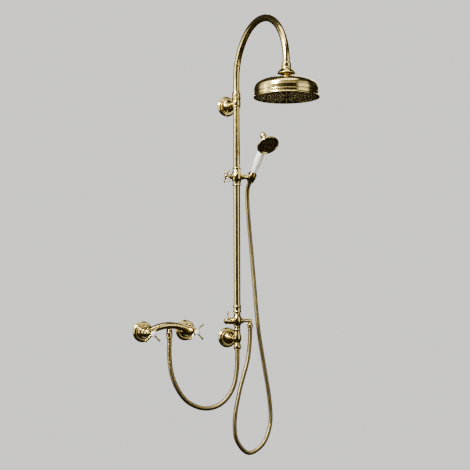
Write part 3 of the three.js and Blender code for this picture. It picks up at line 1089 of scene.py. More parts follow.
@dataclass
class Hoses(Assembly):
    """The two wound metal hoses and their union nuts.

    Attributes:
        supply_r: the supply hose's radius, in metres.
        hand_r: the hand shower hose's radius, in metres.
        tail: the length of the hand shower hose's last stretch, made as a piece of its own, in metres.
    """

    supply_r: float = 0.0075
    hand_r: float = 0.007
    tail: float = 0.15

    def supply_route(self) -> list[Spot]:
        """From the mixer's outlet, down in a wide loop and up into the column.

        Returns:
            The route's points, in metres.
        """
        return [
            (-0.231, -0.046, 0.0097),
            (-0.231, -0.046, -0.006),
            (-0.232, -0.048, -0.05),
            (-0.226, -0.052, -0.105),
            (-0.205, -0.056, -0.158),
            (-0.17, -0.06, -0.2),
            (-0.112, -0.064, -0.223),
            (-0.058, -0.068, -0.212),
            (-0.017, -0.072, -0.167),
            (-0.002, -0.075, -0.105),
            (0.0, -0.076, -0.051),
            (0.0, -0.076, -0.0353),
        ]

    def hand_route(self) -> list[Spot]:
        """From the diverter's outlet, down in a loop and up to the hand shower.

        Returns:
            The route's points, in metres.
        """
        drop, rise = math.sin(LEAN), math.cos(LEAN)
        grip = [(0.056, -0.076 - t * drop, 0.54 + t * rise) for t in (-0.039, -0.0273)]
        return [
            (0.048, -0.076, 0.0327),
            (0.048, -0.076, 0.015),
            (0.04, -0.076, -0.065),
            (0.008, -0.075, -0.172),
            (-0.01, -0.074, -0.27),
            (-0.002, -0.073, -0.335),
            (0.042, -0.072, -0.381),
            (0.098, -0.071, -0.356),
            (0.127, -0.069, -0.29),
            (0.126, -0.067, -0.215),
            (0.108, -0.064, -0.1),
            (0.087, -0.06, 0.033),
            (0.075, -0.054, 0.194),
            (0.064, -0.046, 0.355),
            (0.059, -0.04, 0.45),
            (0.057, -0.0435, 0.495),
            *grip,
        ]

    def hang(self) -> None:
        supply = Hose(self.supply_route(), self.supply_r)
        piece, path = supply.piece("supply_hose_wound")
        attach(piece, "column")
        self._declare(piece, "supply_hose", path, supply.length(), self.supply_r)

        hand = Hose(self.hand_route(), self.hand_r)
        last = len(hand.line) - 1
        low = int(np.argmin(hand.line[:, 2]))
        upper = last - hand.rings_in(self.tail)
        for name, first, end in (("loop", 0, low), ("rise", low, upper), ("tail", upper, last)):
            piece, path = hand.piece(f"hand_hose_{name}", first, end)
            if name == "loop":
                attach(piece, "column")
            elif name == "rise":
                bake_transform(piece)
            else:
                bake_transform(piece)
            self._declare(piece, "handset_hose", path, hand.length(first, end + 1), self.hand_r)

    def _declare(self, piece: Piece, node: str, path: list[Spot], length: float, radius: float) -> None:
        """Args:
            piece: the stretch.
            node: the CAD node that it stands for.
            path: the points of its centre line; not used.
            length: its length, in metres.
            radius: its radius, in metres; not used.
        """
        self.finishes.dress(piece, Slot.HOSE)
        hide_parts(node)
        log.info("%s: %.3f m", piece.name, length)

    def nuts(self) -> None:
        """Makes the union nuts at the hoses' ends."""
        inlet = Outline.start(6.2, -35).ring(10.6, -35, -32.6, 1.1).ring(11.4, -31.8, -20.4, 1.0, 10)
        inlet.ring(10.8, -19.6, -15.4, 0.9).to((6.2, -15.4)).closed()
        self.turned("inlet_hose_nut", inlet, ON_RISER, "column", "hose_inlet_nut")
        mixer = Outline.start(5.6, 10).ring(9.2, 10, 12.4, 0.9)
        mixer.to((8.6, 13.2), (10.2, 14.8), (10.2, 27.6)).ring(9.4, 28.6, 33.4, 0.9).to((5.6, 33.4))
        mixer.closed()
        self.turned("mixer_hose_nut", mixer, at(MIXER_X, -BAR_OUT, 0), "column", "hose_mixer_nut")
        elbow = Outline.start(5, 33).ring(8.2, 33, 35.2, 0.8).to((8.8, 36), (9.5, 37), (9.5, 43))
        elbow.bow(8.7, 47.5, 0.6).to((5, 47.5)).closed()
        self.turned("elbow_hose_nut", elbow, at(48, -RISER_OUT, 0), "column", "hose_elbow_nut")


# ---- wall brackets


def flange_outline(mouth: float, rim: float = 34.0, depth: float = 26.0) -> Outline:
    """Returns the profile of a wall flange about an axis out of the wall.

    Args:
        mouth: the radius of the hole in its crown.
        rim: its outer radius.
        depth: how far it stands off the wall.

    Returns:
        The outline.
    """
    crown = mouth + 1.8
    step = max(24.0, crown + 5)
    shell = Outline.start(rim - 2.6, 0.3).ring(rim, 0.3, 2.6, 0.25, 4).to((rim - 1.2, 3.4))
    shell.bow(step + 1.2, 9.4, 2.1, 10).to((step + 0.9, 10.8)).bow(step - 0.6, 12.2, 0.5, 5)
    shell.to((step - 1.6, 12.0)).bow(crown + 1.6, depth - 4.2, -1.2 if crown < 14 else 0.6, 10)
    shell.bow(crown + 1.2, depth - 2.0, 0.7, 6)
    shell.to((crown, depth - 1.6), (crown, depth), (mouth, depth), (mouth, depth - 5))
    return shell.to((step - 3, 10.6), (rim - 4, 3.4)).closed()


@dataclass
class WallBracket(Assembly):
    """A flange and stem that hold the column off the wall.

    Attributes:
        prefix: the start of the CAD nodes' names.
        height: its height, in millimetres.
        mouth: the radius of the hole in its flange.
    """

    prefix: str = "lower"
    height: float = 0.0
    mouth: float = 7.3

    def build(self) -> None:
        """Makes the flange and the stem."""
        place = at(0, 0, self.height, Toward.VIEWER)
        flange = Bench.turn(f"{self.prefix}_flange_bell", flange_outline(self.mouth), place, 96)
        self.fit(flange, "column", f"{self.prefix}_wall_flange")
        stem = Outline.start(0, 5.3).to((10, 5.3), (10, 12)).bow(7, 14, -0.4, 4).to((7, 29.6))
        stem.bow(8.6, 31, 0.3, 4).bow(8.6, 34, 0.6, 6).bow(7, 35.6, -0.4, 4).to((7, 52))
        stem.bow(8.2, 54, 0.3, 4).bow(8.2, 57.4, 0.5, 6).to((7.2, 58.2), (7.2, 59), (0, 59))
        self.turned(f"{self.prefix}_stem_turned", stem, place, "column", f"{self.prefix}_bracket_stem")


# ---- column


@dataclass
class Riser(Assembly):
    """The riser tube with its nut and the joint that takes the swan neck.

    Attributes:
        bottom: the tube's lower end, in millimetres.
        top: the tube's upper end.
    """

    bottom: float = 87.0
    top: float = 797.0

    def build(self) -> None:
        """Makes the tube, the collar nut, the bracket collar and the union."""
        bore = RISER_R + FIT_GAP
        tube = Outline.start(RISER_R - RISER_WALL, self.bottom, 0.25)
        tube.to((RISER_R, self.bottom), (RISER_R, self.top), (RISER_R - RISER_WALL, self.top)).closed()
        self.turned("riser_drawn_tube", tube, ON_RISER, "column", "riser_tube")

        nut = Outline.start(bore, 88).to((12.9, 88)).bow(13.1, 92.6, 0.6).to((12.6, 93.4))
        nut.flow((12.2, 98), (12.5, 103.6)).ring(13.0, 104.4, 108.2, 0.9).to((12.4, 109))
        nut.bow(12.1, 113, 0.35, 5).to((bore, 113)).closed()
        self.turned("riser_foot_nut", nut, ON_RISER, "column", "riser_collar_nut")

        self._bracket_collar(bore)

        union = Outline.start(bore, 801.3).ring(14.6, 801.3, 805, 0.85)
        union.to((14.0, 805.8), (14.8, 806.8), (14.8, 814.6)).ring(13.8, 815.6, 820.6, 0.9)
        union.to((13.0, 821.6)).bow(12, 829, -0.5).to((bore, 829)).closed()
        self.turned("swan_neck_union", union, ON_RISER, "column", "arm_union_collar")

    def _bracket_collar(self, bore: float) -> None:
        """Makes the collar round the riser, with its boss toward the wall.

        Args:
            bore: the radius of the hole for the riser.
        """
        barrel = Outline.start(0, 773).ring(13.8, 773, 776.8, 0.9).to((13.2, 777.6))
        barrel.ring(14.6, 779.4, 794.8, 0.5, 8).to((13.2, 796.6)).ring(13.8, 797.4, 801, 0.9)
        barrel.to((0, 801))
        base = Bench.turn("bracket_collar", barrel, ON_RISER, 72)
        boss = Outline.start(0, 4).to((9.4, 4)).bow(8.4, 14.4, -0.6).to((8.4, 16.6), (0, 16.6))
        Bench.unite(base, Bench.turn("boss", boss, at(*RISER_AT, UPPER_Z, Toward.WALL)))
        hole = Outline.start(0, 770).to((bore, 770), (bore, 804), (0, 804))
        Bench.cut(base, Bench.turn("hole", hole, ON_RISER))
        self.fit(base, "column", "upper_bracket_collar")


@dataclass
class SwanNeck(Assembly):
    """The arched arm.

    Attributes:
        start: where the tube starts, in millimetres.
        spring: where the arch leaves the vertical.
        end: where the tube ends.
    """

    start: float = 806.0
    spring: float = 861.0
    end: float = 850.0

    def build(self) -> None:
        """Bends the tube."""
        up = Vector((0, 0, 1))
        centre = (0, -RISER_OUT - ARM_REACH / 2, self.spring)
        runs = [
            Straight(up, self.spring - self.start),
            Curved(up, centre, (1, 0, 0), math.pi, 96),
            Straight(-up, self.spring - self.end),
        ]
        tube = Bench.bend("swan_neck_tube", RISER_R, (*RISER_AT, self.start), runs, RISER_WALL, 64)
        self.fit(tube, "column", "swan_neck_arm")


@dataclass
class InletBody(Assembly):
    """The vase-shaped inlet under the diverter, on the lower bracket.

    Attributes:
        bottom: the height of its foot, in millimetres.
        top: the height of its top.
    """

    bottom: float = -15.0
    top: float = 38.5

    def build(self) -> None:
        """Makes the vase and its boss."""
        vase = Outline.start(0, self.bottom).to((9.2, self.bottom), (9.2, -13.4)).bow(9.6, -11, 0.5, 5)
        vase.flow((12.0, -6.5), (13.8, 1.5), (13.0, 10.5), (10.4, 20.5), (9.2, 26)).to((9.8, 27))
        vase.bow(10.6, 32.8, 1.5, 10).to((9.2, 33.8)).bow(9.6, 37.4, -0.3, 4)
        vase.to((10.4, self.top), (0, self.top))
        base = Bench.turn("inlet_vase", vase, ON_RISER, 72)
        boss = Outline.start(0, 4).to((9.0, 4)).bow(8.0, 13.6, -0.5).to((8.0, 16.6), (0, 16.6))
        Bench.unite(base, Bench.turn("boss", boss, at(*RISER_AT, 0, Toward.WALL)))
        self.fit(base, "column", "inlet_body")


@dataclass
class Diverter(Assembly):
    """The diverter valve, its lever and its outlet elbow.

    Attributes:
        elbow_x: how far the outlet stands to the right, in millimetres.
        elbow_r: the outlet tube's radius.
        lever_x: where the lever stands.
    """

    elbow_x: float = 48.0
    elbow_r: float = 6.0
    lever_x: float = -35.0

    def build(self) -> None:
        """Makes the body, the bonnet, the lever and the elbow."""
        centre = (*RISER_AT, DIVERTER_Z)
        barrel = Outline.start(0, -21.2).ring(10.2, -21.2, -17.8, 0.9).to((9.6, -17), (11.2, -15.6))
        barrel.flow((13.8, -8.5), (15, 1.5), (13.9, 10), (11.4, 16.6)).to((10.4, 17.6))
        barrel.ring(11.0, 18.4, 22.4, 0.9).to((10.4, 23.2), (10.4, 26.7), (0, 26.7))
        body = Bench.turn("diverter_valve", barrel, at(*centre), 72)
        left = Outline.start(0, -9).bow(15.6, 4, 3.0, 10).bow(11.2, 14.2, -0.7, 8).bow(10.9, 17, 0.5, 5)
        left.to((0, 17))
        right = Outline.start(0, 2).to((11.4, 2), (11.4, 10.6)).bow(9.8, 13.6, 0.4, 5)
        right.to((9.0, 14.2), (9.0, 17), (0, 17))
        sides = [
            Bench.turn("left", left, at(*centre, Toward.LEFT)),
            Bench.turn("right", right, at(*centre, Toward.RIGHT)),
        ]
        self.fit(Bench.unite(body, *sides), "column", "diverter_body")

        bonnet = Outline.start(4.6, 17.3).ring(10.6, 17.3, 19.9, 0.7).to((9.7, 20.7), (9.7, 24.4))
        bonnet.ring(10.2, 25.2, 28, 0.8).to((4.6, 28)).closed()
        self.turned("diverter_gland", bonnet, at(*centre, Toward.LEFT), "column", "diverter_bonnet")
        self._lever(centre)
        self._elbow(centre)

    def _lever(self, centre: Spot) -> None:
        """Makes the hub, its cap and the single upright lever with a ball on top.

        Args:
            centre: the valve's middle.
        """
        hub = Outline.start(0, 17.2).to((4.2, 17.2), (4.2, 28.3), (8.4, 28.3)).bow(9.7, 31, 0.3, 4)
        hub.to((9.7, 39)).bow(8.0, 45, 0.8, 6).to((0, 45))
        base = Bench.turn("diverter_lever_turned", hub, at(*centre, Toward.LEFT))
        stick = Outline.start(0, 4).to((3.4, 4), (3.4, 10.4)).flow((2.5, 13.4), (1.9, 18), (1.8, 21.6))
        stick.ring(2.8, 22.2, 24, 0.5, 4).to((1.9, 24.6), (1.9, 25.2)).ball(4.2, 29)
        place = at(self.lever_x, -RISER_OUT, DIVERTER_Z)
        Bench.unite(base, Bench.turn("stick", stick, place, 40))
        self.fit(base, "diverter_handle", "diverter_lever")
        cap = Outline.start(0, 45.3).to((6.6, 45.3)).bow(6.1, 47.2, 0.3, 4).bow(0, 48.6, 0.3, 6)
        outer = at(*centre, Toward.LEFT)
        self.turned("diverter_lever_button", cap, outer, "diverter_handle", "diverter_lever_cap")

    def _elbow(self, centre: Spot) -> None:
        """Makes the square elbow that turns the outlet downwards.

        Args:
            centre: the valve's middle.
        """
        reach = self.elbow_x + self.elbow_r - 0.6
        across = Outline.start(0, 17.3).ring(9.2, 17.3, 20.4, 0.8).to((8.2, 21.2))
        across.bow(self.elbow_r, 23.4, -0.3, 4).to((self.elbow_r, reach - 1.2))
        across.bow(self.elbow_r - 1.6, reach, 0.4, 5).to((0, reach))
        down = Outline.start(0, -12).ring(8.2, -12, -9.2, 0.6).bow(self.elbow_r, -7.4, -0.3, 4)
        down.to((self.elbow_r, 4.2)).bow(self.elbow_r - 1.6, 5.4, 0.4, 5).to((0, 5.4))
        base = Bench.turn("outlet_bend", across, at(*centre, Toward.RIGHT))
        leg = Bench.turn("leg", down, at(self.elbow_x, -RISER_OUT, DIVERTER_Z))
        self.fit(Bench.unite(base, leg), "column", "outlet_elbow")


# ---- overhead rose


@dataclass
class OverheadRose(Assembly):
    """The large rose on its ball joint.

    Attributes:
        rows: radial rows of nozzles.
        first_ring: radius of the innermost ring of nozzles, in millimetres.
        ring_gap: how far apart the rings are.
        rings: how many rings.
        face: the height of the plate's face.
    """

    rows: int = 24
    first_ring: float = 19.0
    ring_gap: float = 9.6
    rings: int = 8
    face: float = 751.6

    def build(self) -> None:
        """Makes the nut, the ball, the shell and the spray plate."""
        place = at(0, -RISER_OUT - ARM_REACH, 0)
        nut = Outline.start(26.0, 822).ring(27.4, 822, 824, 0.3, 4).bow(16.2, 834.8, 1.5, 10)
        nut.to((15.2, 835.6), (15.2, 836.4)).bow(15.0, 840, 0.6)
        nut.to((14.2, 840.8), (14.6, 841.8), (14.6, 850.4)).bow(12.8, 856, 0.8, 6)
        nut.to((11.8, 856), (11.8, 849.5), (9.7, 849.5), (9.7, 834.2), (8.9, 834.2))
        nut.bow(13, 832.4, -0.4, 4).bow(25.4, 823.2, -1.2, 8).closed()
        self.turned("arm_swivel_nut", nut, place, "column", "arm_end_nut", steps=72)
        ball = Outline.start(0, 829.1).to((3.2, 829.4)).ball(9, 838, 24)
        self.turned("swivel_ball_turned", ball, place, "rose_ball", "swivel_ball")
        neck = Outline.start(3.5, 811.5).ring(9.4, 811.5, 813.9, 0.7).to((8.4, 814.6))
        neck.bow(6.2, 819, -0.8).to((6.2, 820.4)).bow(6.0, 823.6, 0.5, 5).to((6, 828.2), (3.5, 828.2))
        neck.closed()
        self.turned("rose_neck_turned", neck, place, "rose", "rose_neck")
        self._shell(place)
        self._plate(place)

    def _shell(self, place: Matrix) -> None:
        """Makes the dome and the rim.

        Args:
            place: the place of the rose's axis.
        """
        dome = Outline.start(93, 776.3).to((97, 776.3)).bow(97.2, 778.8, 0.3, 4).to((96.4, 779.4))
        dome.sweep(34, 806.2, True, 18).to((25, 807.4)).bow(21.5, 809.2, 0.3, 5)
        dome.bow(12.6, 811.2, -0.4, 6).to((4, 811.2), (4, 806.6), (34, 803)).sweep(93, 776.3, False, 12)
        self.turned("rose_dome_spun", dome, place, "rose", "rose_dome", steps=144)
        rim = Outline.start(95, 750).to((97.2, 748)).bow(99.8, 748.4, 0.3, 4).bow(99.6, 750.6, 0.35, 5)
        rim.bow(97.9, 754.4, -0.5, 6).ring(97.9, 761.2, 764.8, -1.0, 8).to((97.9, 770.6))
        rim.bow(97.7, 776, 0.5, 6).to((95, 776)).closed()
        self.turned("rose_rim_spun", rim, place, "rose", "rose_rim", steps=144)

    def _plate(self, place: Matrix) -> None:
        """Makes the dark plate and its rows of nozzles.

        Args:
            place: the place of the rose's axis.
        """
        plate = Outline.start(0, 749.6).to((6, 749.6)).bow(9.4, 750.4, 0.3, 5)
        plate.to((10.6, 751.6), (89.4, 751.6)).bow(92, 750.6, -0.2, 4)
        plate.to((94.7, 750.6), (94.7, 753.5), (0, 753.5))
        self.turned(
            "rose_plate_turned", plate, place, "rose", "rose_spray_plate", steps=144, slot=Slot.SPRAY
        )
        tip = Outline.start(0, -2.9, 0.12)
        tip.to((1.15, -2.9), (1.6, -2.4), (2.1, -0.3), (2.6, 0.4), (0, 0.4))
        nozzle = Bench.turn("nozzle", tip, steps=10)
        places = []
        for ring in range(self.rings):
            count = self.rows // 2 if ring == 0 else self.rows
            places += round_row(self.first_ring + ring * self.ring_gap, count, self.face)
        places = [place @ spot for spot in places]
        nozzles = self.fit(Bench.repeat("rose_nozzles", nozzle, places), "rose", slot=Slot.SPRAY)
        nozzles.data.materials[0] = self.finishes.nozzle


# ---- handles


def cross_handle(name: str, hub: Outline, arm: Outline, height: float, place: Matrix) -> Piece:
    """Makes a four-armed handle about its own Z.

    Args:
        name: the piece's name.
        hub: the hub's profile.
        arm: one arm's profile, from the hub's middle outwards.
        height: the arms' height on the hub, in millimetres.
        place: where the handle goes.

    Returns:
        The handle.
    """
    base = Bench.turn(name, hub)
    outward = at(0, 0, height, Toward.RIGHT)
    turns = [Matrix.Rotation(math.pi / 4 + i * math.pi / 2, 4, "Z") for i in range(4)]
    arms = [Bench.turn("arm", arm, turn @ outward, 32) for turn in turns]
    return Bench.place(Bench.unite(base, *arms), place)


@dataclass
class Slider(Assembly):
    """The sliding holder on the riser, with its locking cross.

    Attributes:
        half: half its height, in millimetres.
        bore: the radius of the hole for the bush.
        reach: how far its arm stands out to the right.
        cross_at: how far out the lock cross's arms are.
    """

    half: float = 30.0
    bore: float = 12.5
    reach: float = 39.0
    cross_at: float = 38.0

    def build(self) -> None:
        """Makes the body, the lock screw and the lock cross."""
        centre = (*RISER_AT, SLIDER_Z)
        barrel = Outline.start(0, -self.half).ring(13.6, -self.half, -26, 0.9)
        barrel.to((12.9, -25.2), (12.9, -24.2))
        barrel.flow((14.0, -17), (17.2, -8), (18.4, 0), (17.2, 8), (14.0, 17), (12.9, 24.2))
        barrel.to((12.9, 25.2)).ring(13.6, 26, self.half, 0.9).to((0, self.half))
        body = Bench.turn("slider_barrel", barrel, at(*centre), 72)
        left = Outline.start(0, -6).bow(15.0, 6, 2.0, 8).bow(8.4, 19.6, -0.8, 8).bow(8.0, 23, 0.6, 5)
        left.to((0, 23))
        right = Outline.start(0, -6).bow(16.4, 6, 2.0, 8).bow(8.2, 20.4, -0.9, 8)
        right.ring(8.7, 21.2, 24.2, 0.7, 6).to((7.5, 25.2), (7.5, 36))
        right.bow(7.7, self.reach, 0.2, 4).to((0, self.reach))
        sides = [
            Bench.turn("left", left, at(*centre, Toward.LEFT)),
            Bench.turn("right", right, at(*centre, Toward.RIGHT)),
        ]
        Bench.unite(body, *sides)
        past = self.half + 2
        hole = Outline.start(0, -past).to((self.bore, -past), (self.bore, past), (0, past))
        bore_left = Outline.start(0, 0).to((4.5, 0), (4.5, 25), (0, 25))
        bore_right = Outline.start(0, 24).to((4.6, 24), (4.6, 41), (0, 41))
        tools = [
            Bench.turn("hole", hole, at(*centre)),
            Bench.turn("hole", bore_left, at(*centre, Toward.LEFT), 32),
            Bench.turn("hole", bore_right, at(*centre, Toward.RIGHT), 32),
        ]
        self.fit(Bench.cut(body, *tools), "slider", "slider_body")

        screw = Outline.start(0, 11.4).to((4.1, 11.4), (4.1, 23.4)).ring(5.4, 23.4, 26.4, 0.7, 6)
        screw.to((4.2, 27.4), (4.2, 32.8), (3.6, 33.3), (3.6, 42), (0, 42))
        self.turned(
            "lock_screw_turned", screw, at(*centre, Toward.LEFT), "slider_lock", "lock_screw", steps=48
        )
        hub = Outline.start(0, 42.3).to((3.8, 42.3), (3.8, 33.4), (5.6, 33.4)).bow(5.8, 35.2, 0.3, 4)
        hub.ring(7.0, 36, 40, 0.4, 6).bow(3.6, 44.6, 0.6, 6).to((3.6, 45)).bow(0, 46.2, 0.4, 6)
        arm = Outline.start(0, 4.6).to((2.9, 4.6), (2.9, 8)).flow((2.1, 11), (1.7, 15.6), (1.7, 17))
        arm.ring(2.5, 17.5, 18.9, 0.4, 4).to((1.8, 19.5), (1.8, 20.4)).ball(3.6, 23.5)
        cross = cross_handle("lock_cross_turned", hub, arm, self.cross_at, at(*centre, Toward.LEFT))
        self.fit(cross, "slider_lock", "lock_cross")


# ---- hand shower


@dataclass
class Handset(Assembly):
    """The cradle, the hand shower and its rose.

    Attributes:
        disc_r: the radius of the spray disc's face, in millimetres.
        crown: how far the face's middle stands out from the neck.
        sag: how much lower its edge is.
        nozzle_rings: the radii of the rings of nozzles.
    """

    disc_r: float = 25.4
    crown: float = 22.45
    sag: float = 0.8
    nozzle_rings: tuple[float, ...] = (4.4, 8.8, 13.2, 17.6, 22.0)

    def build(self) -> None:
        """Makes every piece along the grip's axis."""
        grip_axis = at(CRADLE_X, -RISER_OUT, SLIDER_Z) @ Matrix.Rotation(LEAN, 4, "X")
        self._cradle(grip_axis)
        self._grip(grip_axis)
        head = grip_axis @ at(0, 0, HEAD_ALONG)
        self._neck(head)
        self._rose(head @ Matrix.Rotation(FACE_TILT, 4, "X"))

    def _cradle(self, axis: Matrix) -> None:
        """Makes the cup with its spigot and the cone nut that sits in it.

        Args:
            axis: the grip's axis.
        """
        cup = Outline.start(8.8, -17).to((11.0, -17)).bow(11.2, -13.9, 0.8)
        cup.to((11.0, -13.1), (12.0, -11.8)).flow((14.0, -5), (14.2, 1), (13.2, 7.6))
        cup.bow(14.7, 10.2, -0.3, 4).bow(14.5, 13, 0.5, 6).to((10.9, 13)).closed()
        base = Bench.turn("cradle_cup", cup, axis, 72)
        arm = Outline.start(0, 11.2).to((8.2, 11.2), (8.2, 14.6)).bow(7.6, 16.4, 0.2, 4)
        arm.to((4.2, 16.7), (4.2, 27), (0, 27))
        Bench.unite(base, Bench.turn("arm", arm, axis @ Toward.LEFT.value, 48))
        self.fit(base, "handset", "handset_cradle")
        nut = Outline.start(4.8, -27).ring(7.2, -27, -24.4, 0.6, 5)
        nut.to((7.0, -23.6), (7.7, -22.4), (8.1, -18)).ring(10.3, 12.8, 16, 0.4, 5).to((4.8, 16))
        nut.closed()
        self.turned("hand_hose_cone_nut", nut, axis, "handset", "hose_handset_nut")

    def _grip(self, axis: Matrix) -> None:
        """Makes the ferrule and the ceramic grip.

        Args:
            axis: the grip's axis.
        """
        ferrule = Outline.start(6.3, 16.3).to((10.0, 16.3)).bow(10.2, 18.8, 0.8)
        ferrule.ring(9.4, 19.6, 21.4, -0.3, 4).bow(9.8, 24, 0.5, 5).to((6.3, 24)).closed()
        self.turned("grip_ferrule", ferrule, axis, "handset", "handset_ferrule")
        grip = Outline.start(6.4, 24.3).to((9.0, 24.3))
        grip.flow(
            (9.5, 28), (10.4, 37), (12.1, 54), (13.1, 72), (12.7, 89), (11.2, 105), (9.9, 113.5),
            (9.5, 116)
        )
        grip.to((6.4, 116)).closed()
        self.turned("ceramic_grip", grip, axis, "handset", "handset_grip", steps=80, slot=Slot.CERAMIC)

    def _neck(self, head: Matrix) -> None:
        """Makes the neck between the grip and the rose.

        Args:
            head: the place of the head's ball.
        """
        neck = Outline.start(0, -33.7).to((9.8, -33.7)).bow(10.0, -30.6, 0.7).to((9.2, -29.8))
        neck.bow(7.4, -24.6, -0.6, 6).flow((6.9, -19), (7.6, -14.4)).bow(7.6, -11.6, 0.8, 6)
        neck.bow(7.4, -8.6, -0.3, 4).ball(9.6, 0, 20)
        base = Bench.turn("hand_neck", neck, head)
        tilted = head @ Matrix.Rotation(FACE_TILT, 4, "X")
        front = Outline.start(0, 2).to((7.4, 2)).ring(7.4, 8, 10.5, 0.5, 5).to((0, 10.5))
        back = Outline.start(0, 2).to((6.2, 2)).ring(6.2, 8.6, 11, 0.5, 5).to((0, 11))
        others = [
            Bench.turn("front", front, tilted @ Toward.VIEWER.value),
            Bench.turn("back", back, tilted @ Toward.WALL.value),
        ]
        self.fit(Bench.unite(base, *others), "handset", "handset_neck")

    def _rose(self, rose: Matrix) -> None:
        """Makes the finial, the shell, the dished ring and the spray disc.

        Args:
            rose: the place of the rose's middle.
        """
        finial = Outline.start(0, 11.3).ring(7.4, 11.3, 13.8, 0.5, 5).bow(7.0, 16.4, -0.3, 5)
        finial.to((7.0, 18.4), (7.8, 19.2)).flow((9.8, 22.2), (10.6, 27), (9.6, 31.6), (6.6, 34.6))
        finial.to((6.2, 35.4)).bow(0, 37.3, 0.9, 8)
        self.turned(
            "hand_finial", finial, rose @ Toward.WALL.value, "handset", "handset_finial", steps=48
        )
        front = rose @ Toward.VIEWER.value
        shell = Outline.start(4.6, 10.8).to((9.2, 10.8)).bow(9.6, 12.2, 0.3, 4).to((12, 12.8))
        shell.sweep(34.6, 19.4, False, 12).to((35.4, 19.8)).bow(36.9, 21.4, 0.4, 5)
        shell.bow(36.8, 24.2, 0.2, 5).bow(35.6, 25, 0.25, 4)
        shell.to((34.4, 24.2), (34.2, 21.6), (30, 18.8), (10, 14.6), (4.6, 14.6)).closed()
        self.turned("hand_rose_shell", shell, front, "handset", "handset_rose_shell", steps=112)
        dish = Outline.start(27.0, 20.6).to((32.4, 20.6), (33.9, 21.8), (33.9, 24.2))
        dish.bow(33.0, 24.5, 0.2, 4).bow(29.9, 21.6, -0.4, 8).to((27.0, 21.4)).closed()
        self.turned("hand_face_ring", dish, front, "handset", steps=112)
        disc = Outline.start(0, 20.6).to((26.7, 20.6), (26.7, 21.2)).bow(25.4, 21.7, 0.2, 4)
        disc.bow(0, 22.5, 0.2, 8)
        self.turned(
            "hand_spray_disc", disc, front, "handset", "handset_spray_plate", steps=96, slot=Slot.SPRAY
        )
        tip = Outline.start(0, 0, 0.08).to((1.1, 0), (1.0, 0.8), (0.6, 1.25), (0, 1.25))
        nozzle = Bench.turn("nozzle", tip, steps=8)
        places = []
        for ring, radius in enumerate(self.nozzle_rings):
            height = self.crown - self.sag * (radius / self.disc_r) ** 2 - 0.1
            places += round_row(radius, 6 * (ring + 1), height, 0.5 * (ring % 2))
        places = [front @ spot for spot in places]
        nozzles = self.fit(Bench.repeat("hand_nozzles", nozzle, places), "handset", slot=Slot.SPRAY)
        nozzles.data.materials[0] = self.finishes.materials[Slot.BRASS]


# ---- mixer


@dataclass
class Mixer(Assembly):
    """The two-tap mixer with its arched bar.

    Attributes:
        bar_r: the bar's radius, in millimetres.
        rise: how far the bar arches.
    """

    bar_r: float = 11.0
    rise: float = 21.0

    def build(self) -> None:
        """Makes the body and both taps."""
        radius = (INLET_HALF**2 + self.rise**2) / (2 * self.rise)
        half = math.asin(INLET_HALF / radius)
        heading = Vector((math.cos(half), 0, math.sin(half)))
        centre = (MIXER_X, -BAR_OUT, MIXER_Z + self.rise - radius)
        start = (MIXER_X - INLET_HALF, -BAR_OUT, MIXER_Z)
        arch = Curved(heading, centre, (0, 1, 0), 2 * half, 48)
        body = Bench.bend("mixer_arch", self.bar_r, start, [arch])
        barrel = Outline.start(0, 34.3).ring(14.6, 34.3, 38.2, 0.8).to((14.0, 39))
        barrel.ring(14.8, 40.4, 54, 0.6, 8).to((14.0, 55.2), (14.4, 56)).bow(13.4, 62, 0.8, 6)
        barrel.to((0, 62))
        outlet = Outline.start(0, 4).ring(9.2, 4, 7.2, 0.7).to((8.4, 8)).bow(9.0, 14, -0.3, 4)
        outlet.to((9.0, 20), (0, 20))
        others = [
            Bench.turn("barrel", barrel, at(MIXER_X + x, 0, MIXER_Z, Toward.VIEWER))
            for x in (-INLET_HALF, INLET_HALF)
        ]
        others.append(Bench.turn("outlet", outlet, at(MIXER_X, -BAR_OUT, MIXER_Z)))
        self.fit(Bench.unite(body, *others), "column", "mixer_body")
        for side, x in (("hot", -INLET_HALF), ("cold", INLET_HALF)):
            Tap(self.finishes, side, MIXER_X + x).build()


